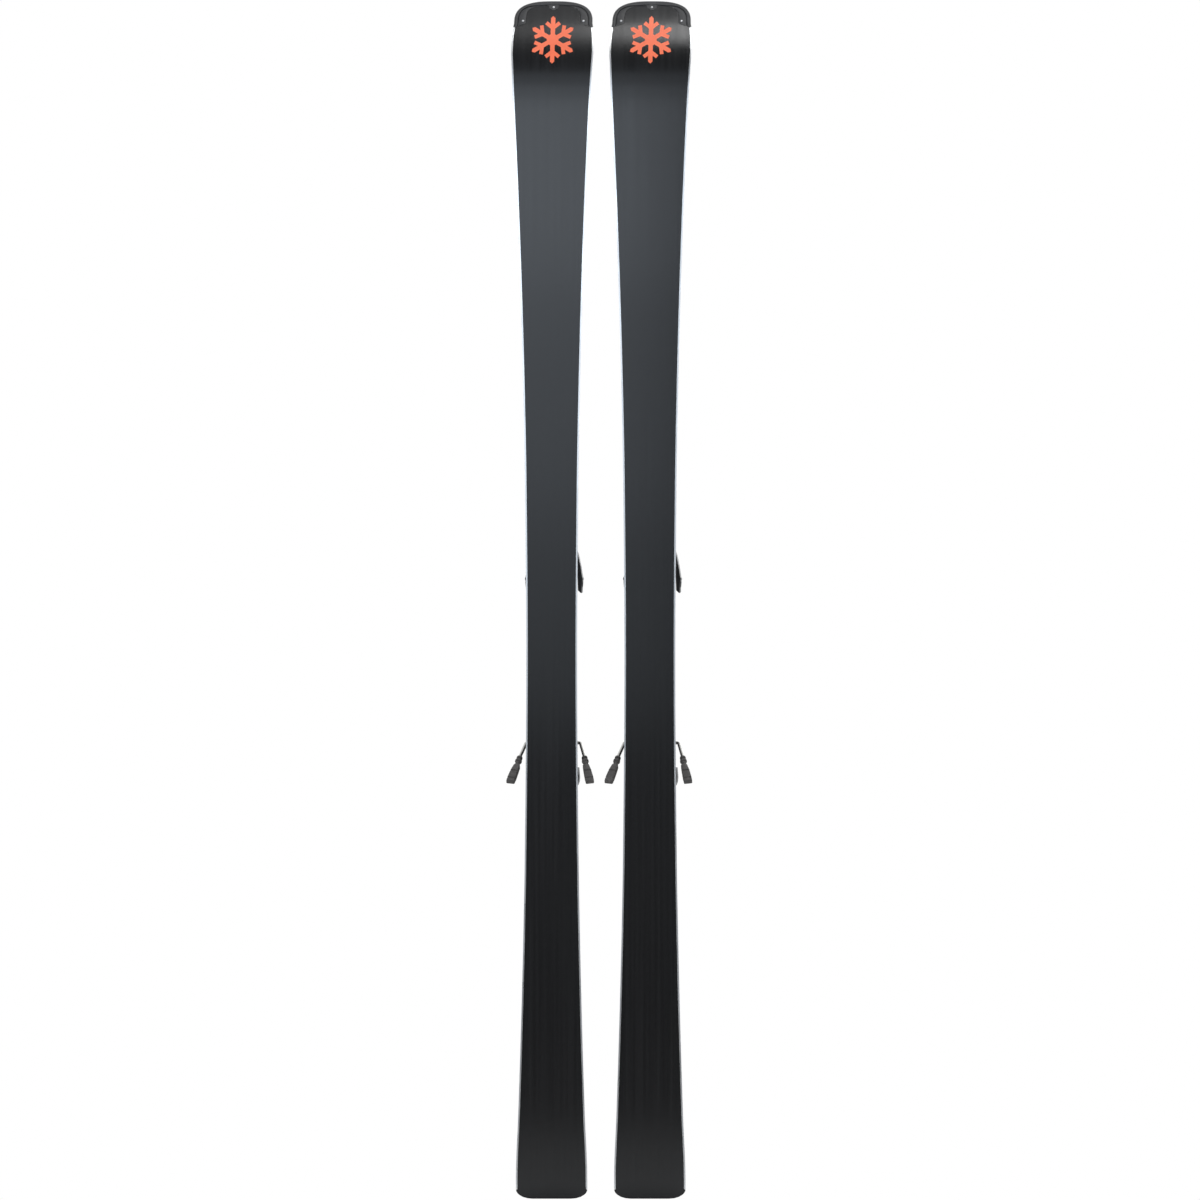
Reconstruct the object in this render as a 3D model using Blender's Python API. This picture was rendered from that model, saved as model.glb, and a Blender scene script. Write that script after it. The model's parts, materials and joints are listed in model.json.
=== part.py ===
"""A pair of alpine skis with release bindings, standing on their tails with the bases towards -Y.

+Z runs along the skis from tail to tip, +X across them, and +Y from the bases to the bindings.
The origin lies on the floor midway between the two tails, level with the flat middle of the bases.
Each ski is built in its own frame by one set of functions, and the two frames are set side by side.
"""

import bmesh
import bpy
from math import cos, inf, pi, radians, sin, sqrt
from mathutils import Vector

# Ski outline, seen on the base
SKI_LENGTH = 1.740
SKI_SPACING = 0.143
TIP_WIDTH = 0.120
WAIST_WIDTH = 0.074
TAIL_WIDTH = 0.104
TIP_WIDEST = 1.668
WAIST = 0.782
TAIL_WIDEST = 0.029
SHOVEL_POWER = 2.07
TAIL_POWER = 2.0
TIP_CURVE_WIDTH = 0.057
TIP_CURVE_DEPTH = 0.032
TIP_CURVE_POWER = 2.8
TAIL_CORNER_WIDTH = 0.024
TAIL_CORNER_DEPTH = 0.014

# Ski side view
FLAT_LOW = 0.480
FLAT_HIGH = 1.045
CAMBER = 0.004
TAIL_CONTACT = 0.100
TIP_CONTACT = 1.500
UPTURN_START = 1.560
UPTURN_RISE = 0.058
UPTURN_POWER = 2.2
TAIL_KICK_START = 0.080
TAIL_KICK_RISE = 0.005
MID_THICKNESS = 0.016
END_THICKNESS = 0.007

# Ski layers
GAP = 0.0003
EDGE_WIDTH = 0.0023
EDGE_HEIGHT = 0.0020
SIDEWALL_WIDTH = 0.0050
SIDEWALL_LEAN = 0.0014
TOPSHEET_THICKNESS = 0.0009
TOPSHEET_INSET = 0.0018

# Tip protector: a rim round the tip with a lobe at each side
RIM_DEPTH = 0.0070
LOBE_DEPTH = 0.0315
LOBE_INNER = 0.0400
LOBE_CORNER_DEPTH = 0.0375
LOBE_CORNER_X = 0.0580
WINDOW_POWER = 4.0

# Binding plate with side grooves that the carriages hook into
PLATE_LOW = 0.490
PLATE_HIGH = 1.020
PLATE_Y = MID_THICKNESS + GAP
PLATE_HEIGHT = 0.0090
PLATE_HALF = 0.0310
LIP_HALF = 0.0305
GROOVE_HALF = 0.0270
GROOVE_BOTTOM = 0.0030
GROOVE_TOP = 0.0060
BAND_GROOVE_HALF = 0.0085
BAND_GROOVE_DEPTH = 0.0020
BAND_LOW = 0.560
BAND_HIGH = 0.965
CARRIAGE_HALF = 0.0345
CARRIAGE_TOP = 0.0315

# Boot and toe piece; the boot's sole lies at SOLE_Y, on the anti-friction slider
SOLE_Y = 0.0460
TOE_CARRIAGE_LOW = 0.862
TOE_CARRIAGE_HIGH = 1.000
AFD_LOW = 0.868
AFD_HIGH = 0.908
AFD_HALF = 0.0220
AFD_TOP = SOLE_Y - 0.0005
AFD_THICKNESS = 0.0057
AFD_SEAT_RIM = 0.0040
AFD_SEAT_END = 0.0030
TOE_LOW = 0.9165
TOE_HIGH = 1.000
TOE_TOP = 0.0830
# height above TOE_LOW, half width and drop from TOE_TOP
TOE_SECTIONS = [
    (0.0000, 0.0300, 0.0020), (0.0100, 0.0300, 0.0000), (0.0450, 0.0300, 0.0020), (0.0735, 0.0250, 0.0090),
    (0.0835, 0.0200, 0.0120),
]
TOE_SHOULDER = 0.0060
POCKET_LOW = 0.0478
POCKET_HIGH = 0.0742
POCKET_HALF = 0.0185
POCKET_END = 0.9565
WING_PIVOT_X = 0.0265
WING_PIVOT_Z = 0.9420
WING_EYE_RADIUS = 0.0072
WING_PIN_RADIUS = 0.0030
# (x, z) from the pin, down the wing's outer side and back up its inner side
WING_OUTER = [
    (0.0088, -0.0060), (0.0124, -0.0240), (0.0146, -0.0380), (0.0158, -0.0412), (0.0144, -0.0455),
    (0.0140, -0.0602), (0.0130, -0.0622),
]
WING_INNER = [(0.0086, -0.0580), (0.0080, -0.0380), (0.0015, -0.0270), (-0.0060, -0.0130)]
TOE_SPRING_Y = 0.0600
TOE_BORE_FLOOR = 0.0200
SPRING_BORE_RADIUS = 0.0102
SPRING_RADIUS = 0.0084
SPRING_WIRE_RADIUS = 0.0012
SPRING_TURNS = 6
SPRING_SIDES = 8
SCREW_RADIUS = 0.0098
SPRING_END_GAP = 0.0025
SCREW_HEIGHT = 0.0080
SCREW_RECESS = 0.0005
SLOT_HALF_LENGTH = 0.0060
SLOT_HALF_WIDTH = 0.0010
SLOT_DEPTH = 0.0025

# Heel piece
HEEL_CARRIAGE_LOW = 0.520
HEEL_CARRIAGE_HIGH = 0.690
HEEL_AXLE_Y = 0.0500
HEEL_AXLE_Z = 0.5410
HEEL_AXLE_RADIUS = 0.0036
HEEL_EYE_RADIUS = 0.0181
HEEL_HALF = 0.0280
CHEEK_INNER = 0.0285
CHEEK_OUTER = 0.0335
CHEEK_TOP = 0.0580
CHEEK_REAR = 0.0140
CHEEK_FRONT = 0.0180
HEEL_SPRING_Y = 0.0660
HEEL_REAR = 0.5340
CUP_CENTRE_Z = 0.6130
CUP_OUTER = 0.0363
CUP_INNER = 0.0331
CUP_DEPTH = 0.0230
CUP_ARM = 0.0140
CUP_ARM_LEAN = 0.0012
# (distance from the centre, y): the tread at the front, the lip at the back
CUP_SECTION = [
    (CUP_OUTER, 0.0500), (CUP_INNER - 0.0065, 0.0500), (CUP_INNER - 0.0065, 0.0535), (CUP_INNER, 0.0548),
    (CUP_INNER, 0.0760), (CUP_INNER - 0.0110, 0.0768), (CUP_INNER - 0.0110, 0.0795), (CUP_OUTER, 0.0820),
]
CUP_POWER = 2.6
CUP_STEPS = 16
HEEL_FRONT = CUP_CENTRE_Z - CUP_DEPTH - GAP
HEEL_BORE_END = HEEL_FRONT - 0.0060
# (z, y) round the housing, from its rear over its top to its front, after the arc about the axle
HEEL_PROFILE = [
    (HEEL_REAR, 0.0560), (HEEL_REAR, 0.0790), (HEEL_REAR + 0.0080, 0.0850), (HEEL_REAR + 0.0280, 0.0900),
    (HEEL_FRONT - 0.0060, 0.0850), (HEEL_FRONT, 0.0800), (HEEL_FRONT, 0.0400), (HEEL_FRONT - 0.0060, 0.0360),
]
LEVER_PIVOT_Y = 0.0780
LEVER_PIVOT_Z = 0.5530
LEVER_GAP = 0.0008
LEVER_ARM_WIDTH = 0.0040
LEVER_ARM_RADIUS = 0.0070
# (z, y) from the pivot
LEVER_ARM_END = [(-0.0250, 0.0020), (-0.0290, 0.0100)]
# (y, z) from the pivot
LEVER_FOOT = (0.0060, -0.0240)
LEVER_DIRECTION = (0.62, -0.78)
LEVER_BEVEL = 0.0020
# distance along the handle, half width and half thickness
LEVER_SECTIONS = [
    (0.0000, 0.0328, 0.0050), (0.0100, 0.0328, 0.0048), (0.0220, 0.0270, 0.0040), (0.0360, 0.0245, 0.0030),
    (0.0430, 0.0225, 0.0022),
]

# Brake, drawn retracted and turned down by BRAKE_ANGLE
BRAKE_Y = 0.0390
BRAKE_Z = 0.6626
BRAKE_ANGLE = 52.0
BRAKE_WIRE_RADIUS = 0.0025
BRAKE_HUB_RADIUS = 0.0050
BRAKE_WIRE_INNER_END = 0.0140
BRAKE_BEND_START = 0.0366
BRAKE_BEND_RADIUS = 0.0035
BRAKE_HOUSING_LOW = 0.645
BRAKE_CHEEK_INNER = 0.0260
BRAKE_CHEEK_TOP = 0.0440
BRAKE_TRAY = 0.0018
PEDAL_HALF = 0.0245
PEDAL_LENGTH = 0.0580
PEDAL_LOW = 0.0010
PEDAL_HIGH = 0.0050
FOOT_START = (0.0470, -0.0345)
FOOT_END = (0.0572, -0.0935)
FOOT_WIRE_LENGTH = 0.0150
# distance along the foot, inner and outer half width, half thickness
FOOT_SECTIONS = [
    (0.0000, 0.0038, 0.0038, 0.0038), (0.0010, 0.0042, 0.0042, 0.0042), (0.0045, 0.0042, 0.0042, 0.0042),
    (0.0055, 0.0038, 0.0038, 0.0038), (0.0078, 0.0038, 0.0038, 0.0038), (0.0088, 0.0047, 0.0047, 0.0043),
    (0.0115, 0.0047, 0.0047, 0.0043), (0.0165, 0.0038, 0.0038, 0.0038), (0.0190, 0.0031, 0.0031, 0.0034),
    (0.0206, 0.0031, 0.0031, 0.0034), (0.0214, 0.0050, 0.0040, 0.0044), (0.0360, 0.0053, 0.0059, 0.0050),
    (0.0500, 0.0053, 0.0067, 0.0046), (0.0602, 0.0051, 0.0070, 0.0026),
]

# Round parts and the slack in their bores
ROUND_SIDES = 16
BORE_SIDES = 12
BORE_CLEARANCE = 0.0004
OVERCUT = 0.0050
OVERLAP = 0.0010

# Colour, roughness and metallic value of each kind of sub-part
FINISHES = {
    "base": ((0.045, 0.047, 0.053), 0.38, 0.0),
    "edge": ((0.72, 0.73, 0.74), 0.30, 1.0),
    "core": ((0.62, 0.46, 0.29), 0.70, 0.0),
    "sidewall": ((0.03, 0.03, 0.033), 0.45, 0.0),
    "topsheet": ((0.05, 0.052, 0.058), 0.32, 0.0),
    "tip_protector": ((0.062, 0.062, 0.066), 0.50, 0.0),
    "binding_plate": ((0.035, 0.035, 0.038), 0.50, 0.0),
    "length_band": ((0.55, 0.56, 0.57), 0.35, 1.0),
    "toe_carriage": ((0.04, 0.04, 0.043), 0.50, 0.0),
    "toe_housing": ((0.05, 0.05, 0.054), 0.40, 0.0),
    "toe_wing": ((0.035, 0.035, 0.038), 0.45, 0.0),
    "afd_slider": ((0.55, 0.55, 0.55), 0.40, 0.0),
    "toe_spring": ((0.50, 0.50, 0.51), 0.35, 1.0),
    "toe_screw": ((0.60, 0.60, 0.61), 0.30, 1.0),
    "heel_carriage": ((0.04, 0.04, 0.043), 0.50, 0.0),
    "heel_axle": ((0.58, 0.58, 0.59), 0.30, 1.0),
    "heel_housing": ((0.05, 0.05, 0.054), 0.40, 0.0),
    "heel_cup": ((0.035, 0.035, 0.038), 0.45, 0.0),
    "heel_lever": ((0.92, 0.26, 0.13), 0.40, 0.0),
    "heel_spring": ((0.50, 0.50, 0.51), 0.35, 1.0),
    "heel_screw": ((0.60, 0.60, 0.61), 0.30, 1.0),
    "brake_housing": ((0.04, 0.04, 0.043), 0.50, 0.0),
    "brake_pedal": ((0.05, 0.05, 0.053), 0.45, 0.0),
    "brake_arm": ((0.42, 0.42, 0.43), 0.28, 1.0),
    "brake_foot": ((0.075, 0.070, 0.068), 0.55, 0.0),
}


# ---------------------------------------------------------------- tools

def clear_scene():
    for obj in list(bpy.data.objects):
        bpy.data.objects.remove(obj, do_unlink=True)


def material(kind):
    existing = bpy.data.materials.get(kind)
    if existing:
        return existing
    colour, roughness, metallic = FINISHES[kind]
    made = bpy.data.materials.new(kind)
    made.use_nodes = True
    shader = made.node_tree.nodes["Principled BSDF"]
    shader.inputs["Base Color"].default_value = (*colour, 1.0)
    shader.inputs["Roughness"].default_value = roughness
    shader.inputs["Metallic"].default_value = metallic
    return made


def add_object(name, mesh, parent, kind=None, smooth=False):
    obj = bpy.data.objects.new(name, mesh)
    bpy.context.scene.collection.objects.link(obj)
    obj.parent = parent
    if kind:
        mesh.materials.append(material(kind))
    if smooth:
        mesh.shade_smooth()
        mesh.set_sharp_from_angle(angle=radians(40))
    return obj


def add_empty(name, location, parent=None):
    empty = bpy.data.objects.new(name, None)
    bpy.context.scene.collection.objects.link(empty)
    empty.location = location
    empty.parent = parent
    return empty


def loft(name, rings, parent, kind=None, smooth=False):
    """A closed solid through rings of points, with the first and last ring capped."""
    bm = bmesh.new()
    loops = [[bm.verts.new(point) for point in ring] for ring in rings]
    for low, high in zip(loops, loops[1:]):
        for i in range(len(low)):
            j = (i + 1) % len(low)
            bm.faces.new((low[i], low[j], high[j], high[i]))
    bm.faces.new(loops[0][::-1])
    bm.faces.new(loops[-1])
    bmesh.ops.recalc_face_normals(bm, faces=bm.faces)
    mesh = bpy.data.meshes.new(name)
    bm.to_mesh(mesh)
    bm.free()
    return add_object(name, mesh, parent, kind, smooth)


def along_z(shape, low, high):
    """The rings of a prism with an (x, y) shape between two heights."""
    return [[(x, y, z) for x, y in shape] for z in (low, high)]


def along_x(shape, low, high):
    """The rings of a prism with a (z, y) shape between two widths."""
    return [[(x, y, z) for z, y in shape] for x in (low, high)]


def along_y(shape, low, high):
    """The rings of a prism with an (x, z) shape between two levels."""
    return [[(x, y, z) for x, z in shape] for y in (low, high)]


def box(low, high):
    corners = [(low[0], low[1]), (high[0], low[1]), (high[0], high[1]), (low[0], high[1])]
    return along_z(corners, low[2], high[2])


def circle(radius, centre=(0.0, 0.0), sides=ROUND_SIDES):
    turn = 2 * pi / sides
    return [(centre[0] + radius * cos(i * turn), centre[1] + radius * sin(i * turn)) for i in range(sides)]


def arc(centre, radius, start, end, steps):
    """Points on an arc from one angle to another, in degrees."""
    angles = [radians(start + (end - start) * i / steps) for i in range(steps + 1)]
    return [(centre[0] + radius * cos(a), centre[1] + radius * sin(a)) for a in angles]


def mirrored(half):
    return [(-x, z) for x, z in half]


def power_of(value, power):
    """A signed power, for superellipses."""
    return abs(value) ** power if value > 0 else -abs(value) ** power


def tube(points, radius, sides):
    """Rings of a round bar that follows the points."""
    path = [Vector(point) for point in points]
    rings = []
    across = None
    for i, point in enumerate(path):
        ahead = path[min(i + 1, len(path) - 1)] - path[max(i - 1, 0)]
        ahead.normalize()
        if across is None:
            across = ahead.orthogonal().normalized()
        across = (across - ahead * across.dot(ahead)).normalized()
        up = ahead.cross(across)
        spokes = [across * x + up * y for x, y in circle(radius, sides=sides)]
        rings.append([tuple(point + spoke) for spoke in spokes])
    return rings


def combine(obj, tool, operation):
    """Leaves a Boolean with a hidden tool object on the object."""
    tool.hide_render = True
    tool.display_type = "WIRE"
    step = obj.modifiers.new(tool.name, "BOOLEAN")
    step.operation = operation
    step.solver = "EXACT"
    step.object = tool


# ---------------------------------------------------------------- ski shape

def ease(u):
    """A smooth step from 0 to 1."""
    u = min(max(u, 0.0), 1.0)
    return (1 - cos(pi * u)) / 2


def outline(z):
    """Half the ski's width at a height above its tail."""
    waist = WAIST_WIDTH / 2
    cap_start = SKI_LENGTH - TIP_CURVE_DEPTH
    if z > cap_start:
        rise = min((z - cap_start) / TIP_CURVE_DEPTH, 1.0)
        return TIP_CURVE_WIDTH * (1 - rise ** TIP_CURVE_POWER) ** (1 / TIP_CURVE_POWER)
    if z > TIP_WIDEST:
        share = ease((z - TIP_WIDEST) / (cap_start - TIP_WIDEST) / 2) * 2
        return TIP_WIDTH / 2 - (TIP_WIDTH / 2 - TIP_CURVE_WIDTH) * share
    if z > WAIST:
        share = (z - WAIST) / (TIP_WIDEST - WAIST)
        return waist + (TIP_WIDTH / 2 - waist) * share ** SHOVEL_POWER
    if z > TAIL_CORNER_DEPTH:
        share = min((WAIST - z) / (WAIST - TAIL_WIDEST), 1.0)
        return waist + (TAIL_WIDTH / 2 - waist) * share ** TAIL_POWER
    drop = (TAIL_CORNER_DEPTH - z) / TAIL_CORNER_DEPTH
    return TAIL_WIDTH / 2 - TAIL_CORNER_WIDTH * (1 - sqrt(max(1 - drop * drop, 0.0)))


def base_line(z):
    """How far the base lies behind (+Y) or in front (-Y) of its flat middle."""
    if z < FLAT_LOW:
        y = -CAMBER * ease((FLAT_LOW - z) / (FLAT_LOW - TAIL_CONTACT))
    else:
        y = -CAMBER * ease((z - FLAT_HIGH) / (TIP_CONTACT - FLAT_HIGH))
    upturn = max((z - UPTURN_START) / (SKI_LENGTH - UPTURN_START), 0.0)
    kick = max((TAIL_KICK_START - z) / TAIL_KICK_START, 0.0)
    return y + UPTURN_RISE * upturn ** UPTURN_POWER + TAIL_KICK_RISE * kick ** 2


def thickness(z):
    """The ski's thickness at a height above its tail."""
    if z < FLAT_LOW:
        share = ease((FLAT_LOW - z) / (FLAT_LOW - TAIL_WIDEST))
    else:
        share = ease((z - FLAT_HIGH) / (UPTURN_START - FLAT_HIGH))
    return MID_THICKNESS + (END_THICKNESS - MID_THICKNESS) * share


def on_ski(x, depth, z):
    """A point at a depth measured from the base, square to it."""
    step = 0.001
    slope = (base_line(z + step) - base_line(z - step)) / (2 * step)
    return (x, base_line(z) + depth * sqrt(1 + slope * slope), z)


def window(z, gap):
    """Half the width of the opening that the tip protector leaves for the other layers."""
    low = SKI_LENGTH - LOBE_CORNER_DEPTH + gap
    shoulder = SKI_LENGTH - LOBE_DEPTH + gap
    top = SKI_LENGTH - RIM_DEPTH + gap
    if z <= low:
        return inf
    if z <= shoulder:
        share = (z - low) / (shoulder - low)
        return LOBE_CORNER_X + (LOBE_INNER + gap - LOBE_CORNER_X) * share
    rise = min((z - shoulder) / (top - shoulder), 1.0)
    return (LOBE_INNER + gap) * (1 - rise ** WINDOW_POWER) ** (1 / WINDOW_POWER)


def spread(low, high, steps):
    return [low + (high - low) * i / steps for i in range(steps + 1)]


def body_stations():
    """Heights of the cross-sections along the ski, closer together where it curves."""
    tail = [TAIL_CORNER_DEPTH * (1 - cos(pi / 2 * i / 5)) for i in range(5)]
    middle = spread(TAIL_WIDEST, FLAT_LOW, 5) + spread(FLAT_HIGH, UPTURN_START, 5)
    middle.insert(6, WAIST)
    low = SKI_LENGTH - LOBE_CORNER_DEPTH
    upturn = spread(UPTURN_START, low, 8)[1:]
    return tail, middle, upturn


def window_stations(gap):
    """Heights of the cross-sections inside the tip protector, closer together towards its top."""
    shoulder = SKI_LENGTH - LOBE_DEPTH + gap
    depth = LOBE_DEPTH - RIM_DEPTH
    return [shoulder + depth * sin(radians(angle)) for angle in (0, 18, 34, 47, 58, 67, 74, 80, 84, 87)]


def layer(name, stations, left, right, low, high, parent, kind):
    """One layer of the ski: a band between two sides and two depths, each a function of height."""
    rings = []
    for z in stations:
        corners = [(left(z), low(z)), (right(z), low(z)), (right(z), high(z)), (left(z), high(z))]
        rings.append([on_ski(x, depth, z) for x, depth in corners])
    return loft(name, rings, parent, kind)


def inside(inset):
    """Half-width of a layer set in from the ski's outline, and inside the tip protector."""
    return lambda z: min(outline(z) - inset, window(z, -GAP))


def base_half(z):
    """The base reaches the outline only at the tail, where the steel edges haven't begun."""
    if z < TAIL_CORNER_DEPTH - GAP:
        return outline(z)
    return min(outline(z) - EDGE_WIDTH - GAP, window(z, -GAP))


def make_layers(side, parent):
    tail, middle, upturn = body_stations()
    full = tail + [TAIL_CORNER_DEPTH] + middle + upturn + window_stations(-GAP)
    sides = [TAIL_CORNER_DEPTH + GAP] + middle + upturn[:-1] + [upturn[-1] - GAP]
    stepped = tail + [TAIL_CORNER_DEPTH - 2 * GAP] + full[len(tail):]

    def mirror(half):
        return lambda z: -half(z)

    layer(side + "_base", stepped, mirror(base_half), base_half,
          lambda z: 0.0, lambda z: EDGE_HEIGHT, parent, "base")
    above_base = EDGE_HEIGHT + GAP
    under_top = TOPSHEET_THICKNESS + GAP
    core_half = inside(SIDEWALL_WIDTH + GAP)
    layer(side + "_core", full, mirror(core_half), core_half,
          lambda z: above_base, lambda z: thickness(z) - under_top, parent, "core")
    top_half = inside(TOPSHEET_INSET)
    layer(side + "_topsheet", full, mirror(top_half), top_half,
          lambda z: thickness(z) - TOPSHEET_THICKNESS, thickness, parent, "topsheet")
    for hand, sign in (("left", -1), ("right", 1)):
        layer(f"{side}_edge_{hand}", sides,
              lambda z: sign * outline(z), lambda z: sign * (outline(z) - EDGE_WIDTH),
              lambda z: 0.0, lambda z: EDGE_HEIGHT, parent, "edge")
        make_sidewall(f"{side}_sidewall_{hand}", sides, sign, parent)


def make_sidewall(name, stations, sign, parent):
    """A strip above the steel edge whose outer face leans in towards the topsheet."""
    rings = []
    for z in stations:
        outer = outline(z)
        low = EDGE_HEIGHT + GAP
        high = thickness(z) - TOPSHEET_THICKNESS - GAP
        lean = SIDEWALL_LEAN * (high - low) / (MID_THICKNESS - low)
        corners = [(outer - GAP, low), (outer - GAP - lean, high)]
        corners += [(outer - SIDEWALL_WIDTH, high), (outer - SIDEWALL_WIDTH, low)]
        rings.append([on_ski(sign * x, depth, z) for x, depth in corners])
    loft(name, rings, parent, "sidewall")


def super_arc(width, depth, power, foot, steps):
    """Half a superellipse over the tip, from the left end to the right end."""
    points = []
    for i in range(steps + 1):
        angle = pi * (1 - i / steps)
        points.append((width * power_of(cos(angle), 2 / power), foot + depth * sin(angle) ** (2 / power)))
    return points


def make_tip_protector(side, parent):
    climb = [(window(z, 0.0), z) for z in window_stations(0.0)]
    inner = mirrored(climb) + climb[::-1]
    foot = SKI_LENGTH - TIP_CURVE_DEPTH
    outer = super_arc(TIP_CURVE_WIDTH, TIP_CURVE_DEPTH, TIP_CURVE_POWER, foot, len(inner) - 1)
    corner = SKI_LENGTH - LOBE_CORNER_DEPTH
    outer = [(-LOBE_CORNER_X, corner)] + outer + [(LOBE_CORNER_X, corner)]
    lobe_end = SKI_LENGTH - LOBE_DEPTH - GAP / 2
    inner = [(-LOBE_INNER, lobe_end)] + inner + [(LOBE_INNER, lobe_end)]
    rings = []
    for (x_out, z_out), (x_in, z_in) in zip(outer, inner):
        ring = [on_ski(x_out, 0.0, z_out), on_ski(x_in, 0.0, z_in)]
        ring += [on_ski(x_in, END_THICKNESS, z_in), on_ski(x_out, END_THICKNESS, z_out)]
        rings.append(ring)
    loft(side + "_tip_protector", rings, parent, "tip_protector")


# ---------------------------------------------------------------- plate and carriages

def make_plate(side, parent):
    top = PLATE_Y + PLATE_HEIGHT
    half = [(PLATE_HALF, PLATE_Y), (PLATE_HALF, PLATE_Y + GROOVE_BOTTOM)]
    half += [(GROOVE_HALF, PLATE_Y + GROOVE_BOTTOM), (GROOVE_HALF, PLATE_Y + GROOVE_TOP)]
    half += [(LIP_HALF, PLATE_Y + GROOVE_TOP), (LIP_HALF, top), (BAND_GROOVE_HALF, top)]
    half += [(BAND_GROOVE_HALF, top - BAND_GROOVE_DEPTH)]
    section = half + mirrored(half)[::-1]
    loft(side + "_binding_plate", along_z(section, PLATE_LOW, PLATE_HIGH), parent, "binding_plate")
    band_low = (-BAND_GROOVE_HALF + GAP, top - BAND_GROOVE_DEPTH + GAP, BAND_LOW)
    band_high = (BAND_GROOVE_HALF - GAP, top - GAP, BAND_HIGH)
    loft(side + "_length_band", box(band_low, band_high), parent, "length_band")


def carriage_section():
    """An arch over the plate with a hook under each of its lips."""
    hook_low = PLATE_Y + GROOVE_BOTTOM + GAP
    hook_high = PLATE_Y + GROOVE_TOP - GAP
    under = PLATE_Y + PLATE_HEIGHT + GAP
    half = [(CARRIAGE_HALF, CARRIAGE_TOP), (CARRIAGE_HALF, hook_low), (GROOVE_HALF + GAP, hook_low)]
    half += [(GROOVE_HALF + GAP, hook_high), (LIP_HALF + GAP, hook_high), (LIP_HALF + GAP, under)]
    return half + mirrored(half)[::-1]


def make_toe_carriage(side, parent):
    rings = along_z(carriage_section(), TOE_CARRIAGE_LOW, TOE_CARRIAGE_HIGH)
    carriage = loft(side + "_toe_carriage", rings, parent, "toe_carriage")
    slider_low = AFD_TOP - AFD_THICKNESS
    seat_low = (-AFD_HALF - AFD_SEAT_RIM, CARRIAGE_TOP - OVERLAP, AFD_LOW - AFD_SEAT_END)
    seat_high = (AFD_HALF + AFD_SEAT_RIM, slider_low - GAP, AFD_HIGH + AFD_SEAT_END)
    combine(carriage, loft(side + "_afd_seat", box(seat_low, seat_high), parent), "UNION")
    slider = box((-AFD_HALF, slider_low, AFD_LOW), (AFD_HALF, AFD_TOP, AFD_HIGH))
    loft(side + "_afd_slider", slider, parent, "afd_slider")


# ---------------------------------------------------------------- toe piece

def make_toe_housing(side, parent):
    """A block with a pocket at each side for a wing, a pin in each pocket and a spring bore."""
    deck = CARRIAGE_TOP + GAP
    rings = []
    for rise, half, drop in TOE_SECTIONS:
        top = TOE_TOP - drop
        side_line = [(half, deck), (half, top - TOE_SHOULDER), (half - TOE_SHOULDER, top)]
        rings.append([(x, y, TOE_LOW + rise) for x, y in side_line + mirrored(side_line)[::-1]])
    housing = loft(side + "_toe_housing", rings, parent, "toe_housing")
    for hand, sign in (("left", -1), ("right", 1)):
        near, far = sorted((sign * POCKET_HALF, sign * (PLATE_HALF + OVERCUT)))
        pocket = box((near, POCKET_LOW, TOE_LOW - OVERCUT), (far, POCKET_HIGH, POCKET_END))
        combine(housing, loft(f"{side}_pocket_{hand}", pocket, parent), "DIFFERENCE")
        pin = circle(WING_PIN_RADIUS, (sign * WING_PIVOT_X, WING_PIVOT_Z), BORE_SIDES)
        post = along_y(pin, POCKET_LOW - OVERLAP, POCKET_HIGH + OVERLAP)
        combine(housing, loft(f"{side}_wing_pin_{hand}", post, parent), "UNION")
    bore = circle(SPRING_BORE_RADIUS, (0.0, TOE_SPRING_Y))
    bore = along_z(bore, TOE_LOW + TOE_BORE_FLOOR, TOE_HIGH + OVERCUT)
    combine(housing, loft(side + "_toe_bore", bore, parent), "DIFFERENCE")


def make_toe_wing(side, hand, sign, parent):
    """An arm that holds one side of the boot's toe and swings out on its pin."""
    pivot = add_empty(f"{side}_wing_pivot_{hand}", (sign * WING_PIVOT_X, 0.0, WING_PIVOT_Z), parent)
    eye = arc((0.0, 0.0), WING_EYE_RADIUS, 200, 50, 5)
    plan = [(sign * x, z) for x, z in eye + WING_OUTER + WING_INNER]
    rings = along_y(plan, POCKET_LOW + GAP, POCKET_HIGH - GAP)
    wing = loft(f"{side}_toe_wing_{hand}", rings, pivot, "toe_wing")
    bore = circle(WING_PIN_RADIUS + BORE_CLEARANCE, sides=BORE_SIDES)
    bore = along_y(bore, POCKET_LOW - OVERCUT, POCKET_HIGH + OVERCUT)
    combine(wing, loft(f"{side}_wing_bore_{hand}", bore, pivot), "DIFFERENCE")


def coil(low, high, level):
    """Rings of a coil spring that runs along +Z."""
    steps = SPRING_SIDES * SPRING_TURNS
    points = []
    for i in range(steps + 1):
        angle = 2 * pi * i / SPRING_SIDES
        z = low + (high - low) * i / steps
        points.append((SPRING_RADIUS * cos(angle), level + SPRING_RADIUS * sin(angle), z))
    return tube(points, SPRING_WIRE_RADIUS, 4)


def make_screw(name, level, face, inward, parent, kind):
    """A round adjusting screw with a cross slot in its outer face; inward is +1 or -1 along Z."""
    centre = add_empty(name + "_axis", (0.0, level, face), parent)
    low, high = sorted((0.0, inward * SCREW_HEIGHT))
    screw = loft(name, along_z(circle(SCREW_RADIUS - GAP), low, high), centre, kind, smooth=True)
    across = ("slot_across", SLOT_HALF_LENGTH, SLOT_HALF_WIDTH)
    upright = ("slot_upright", SLOT_HALF_WIDTH, SLOT_HALF_LENGTH)
    for label, wide, tall in (across, upright):
        near, far = sorted((-inward * OVERCUT, inward * SLOT_DEPTH))
        slot = loft(f"{name}_{label}", box((-wide, -tall, near), (wide, tall, far)), centre)
        combine(screw, slot, "DIFFERENCE")


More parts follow.
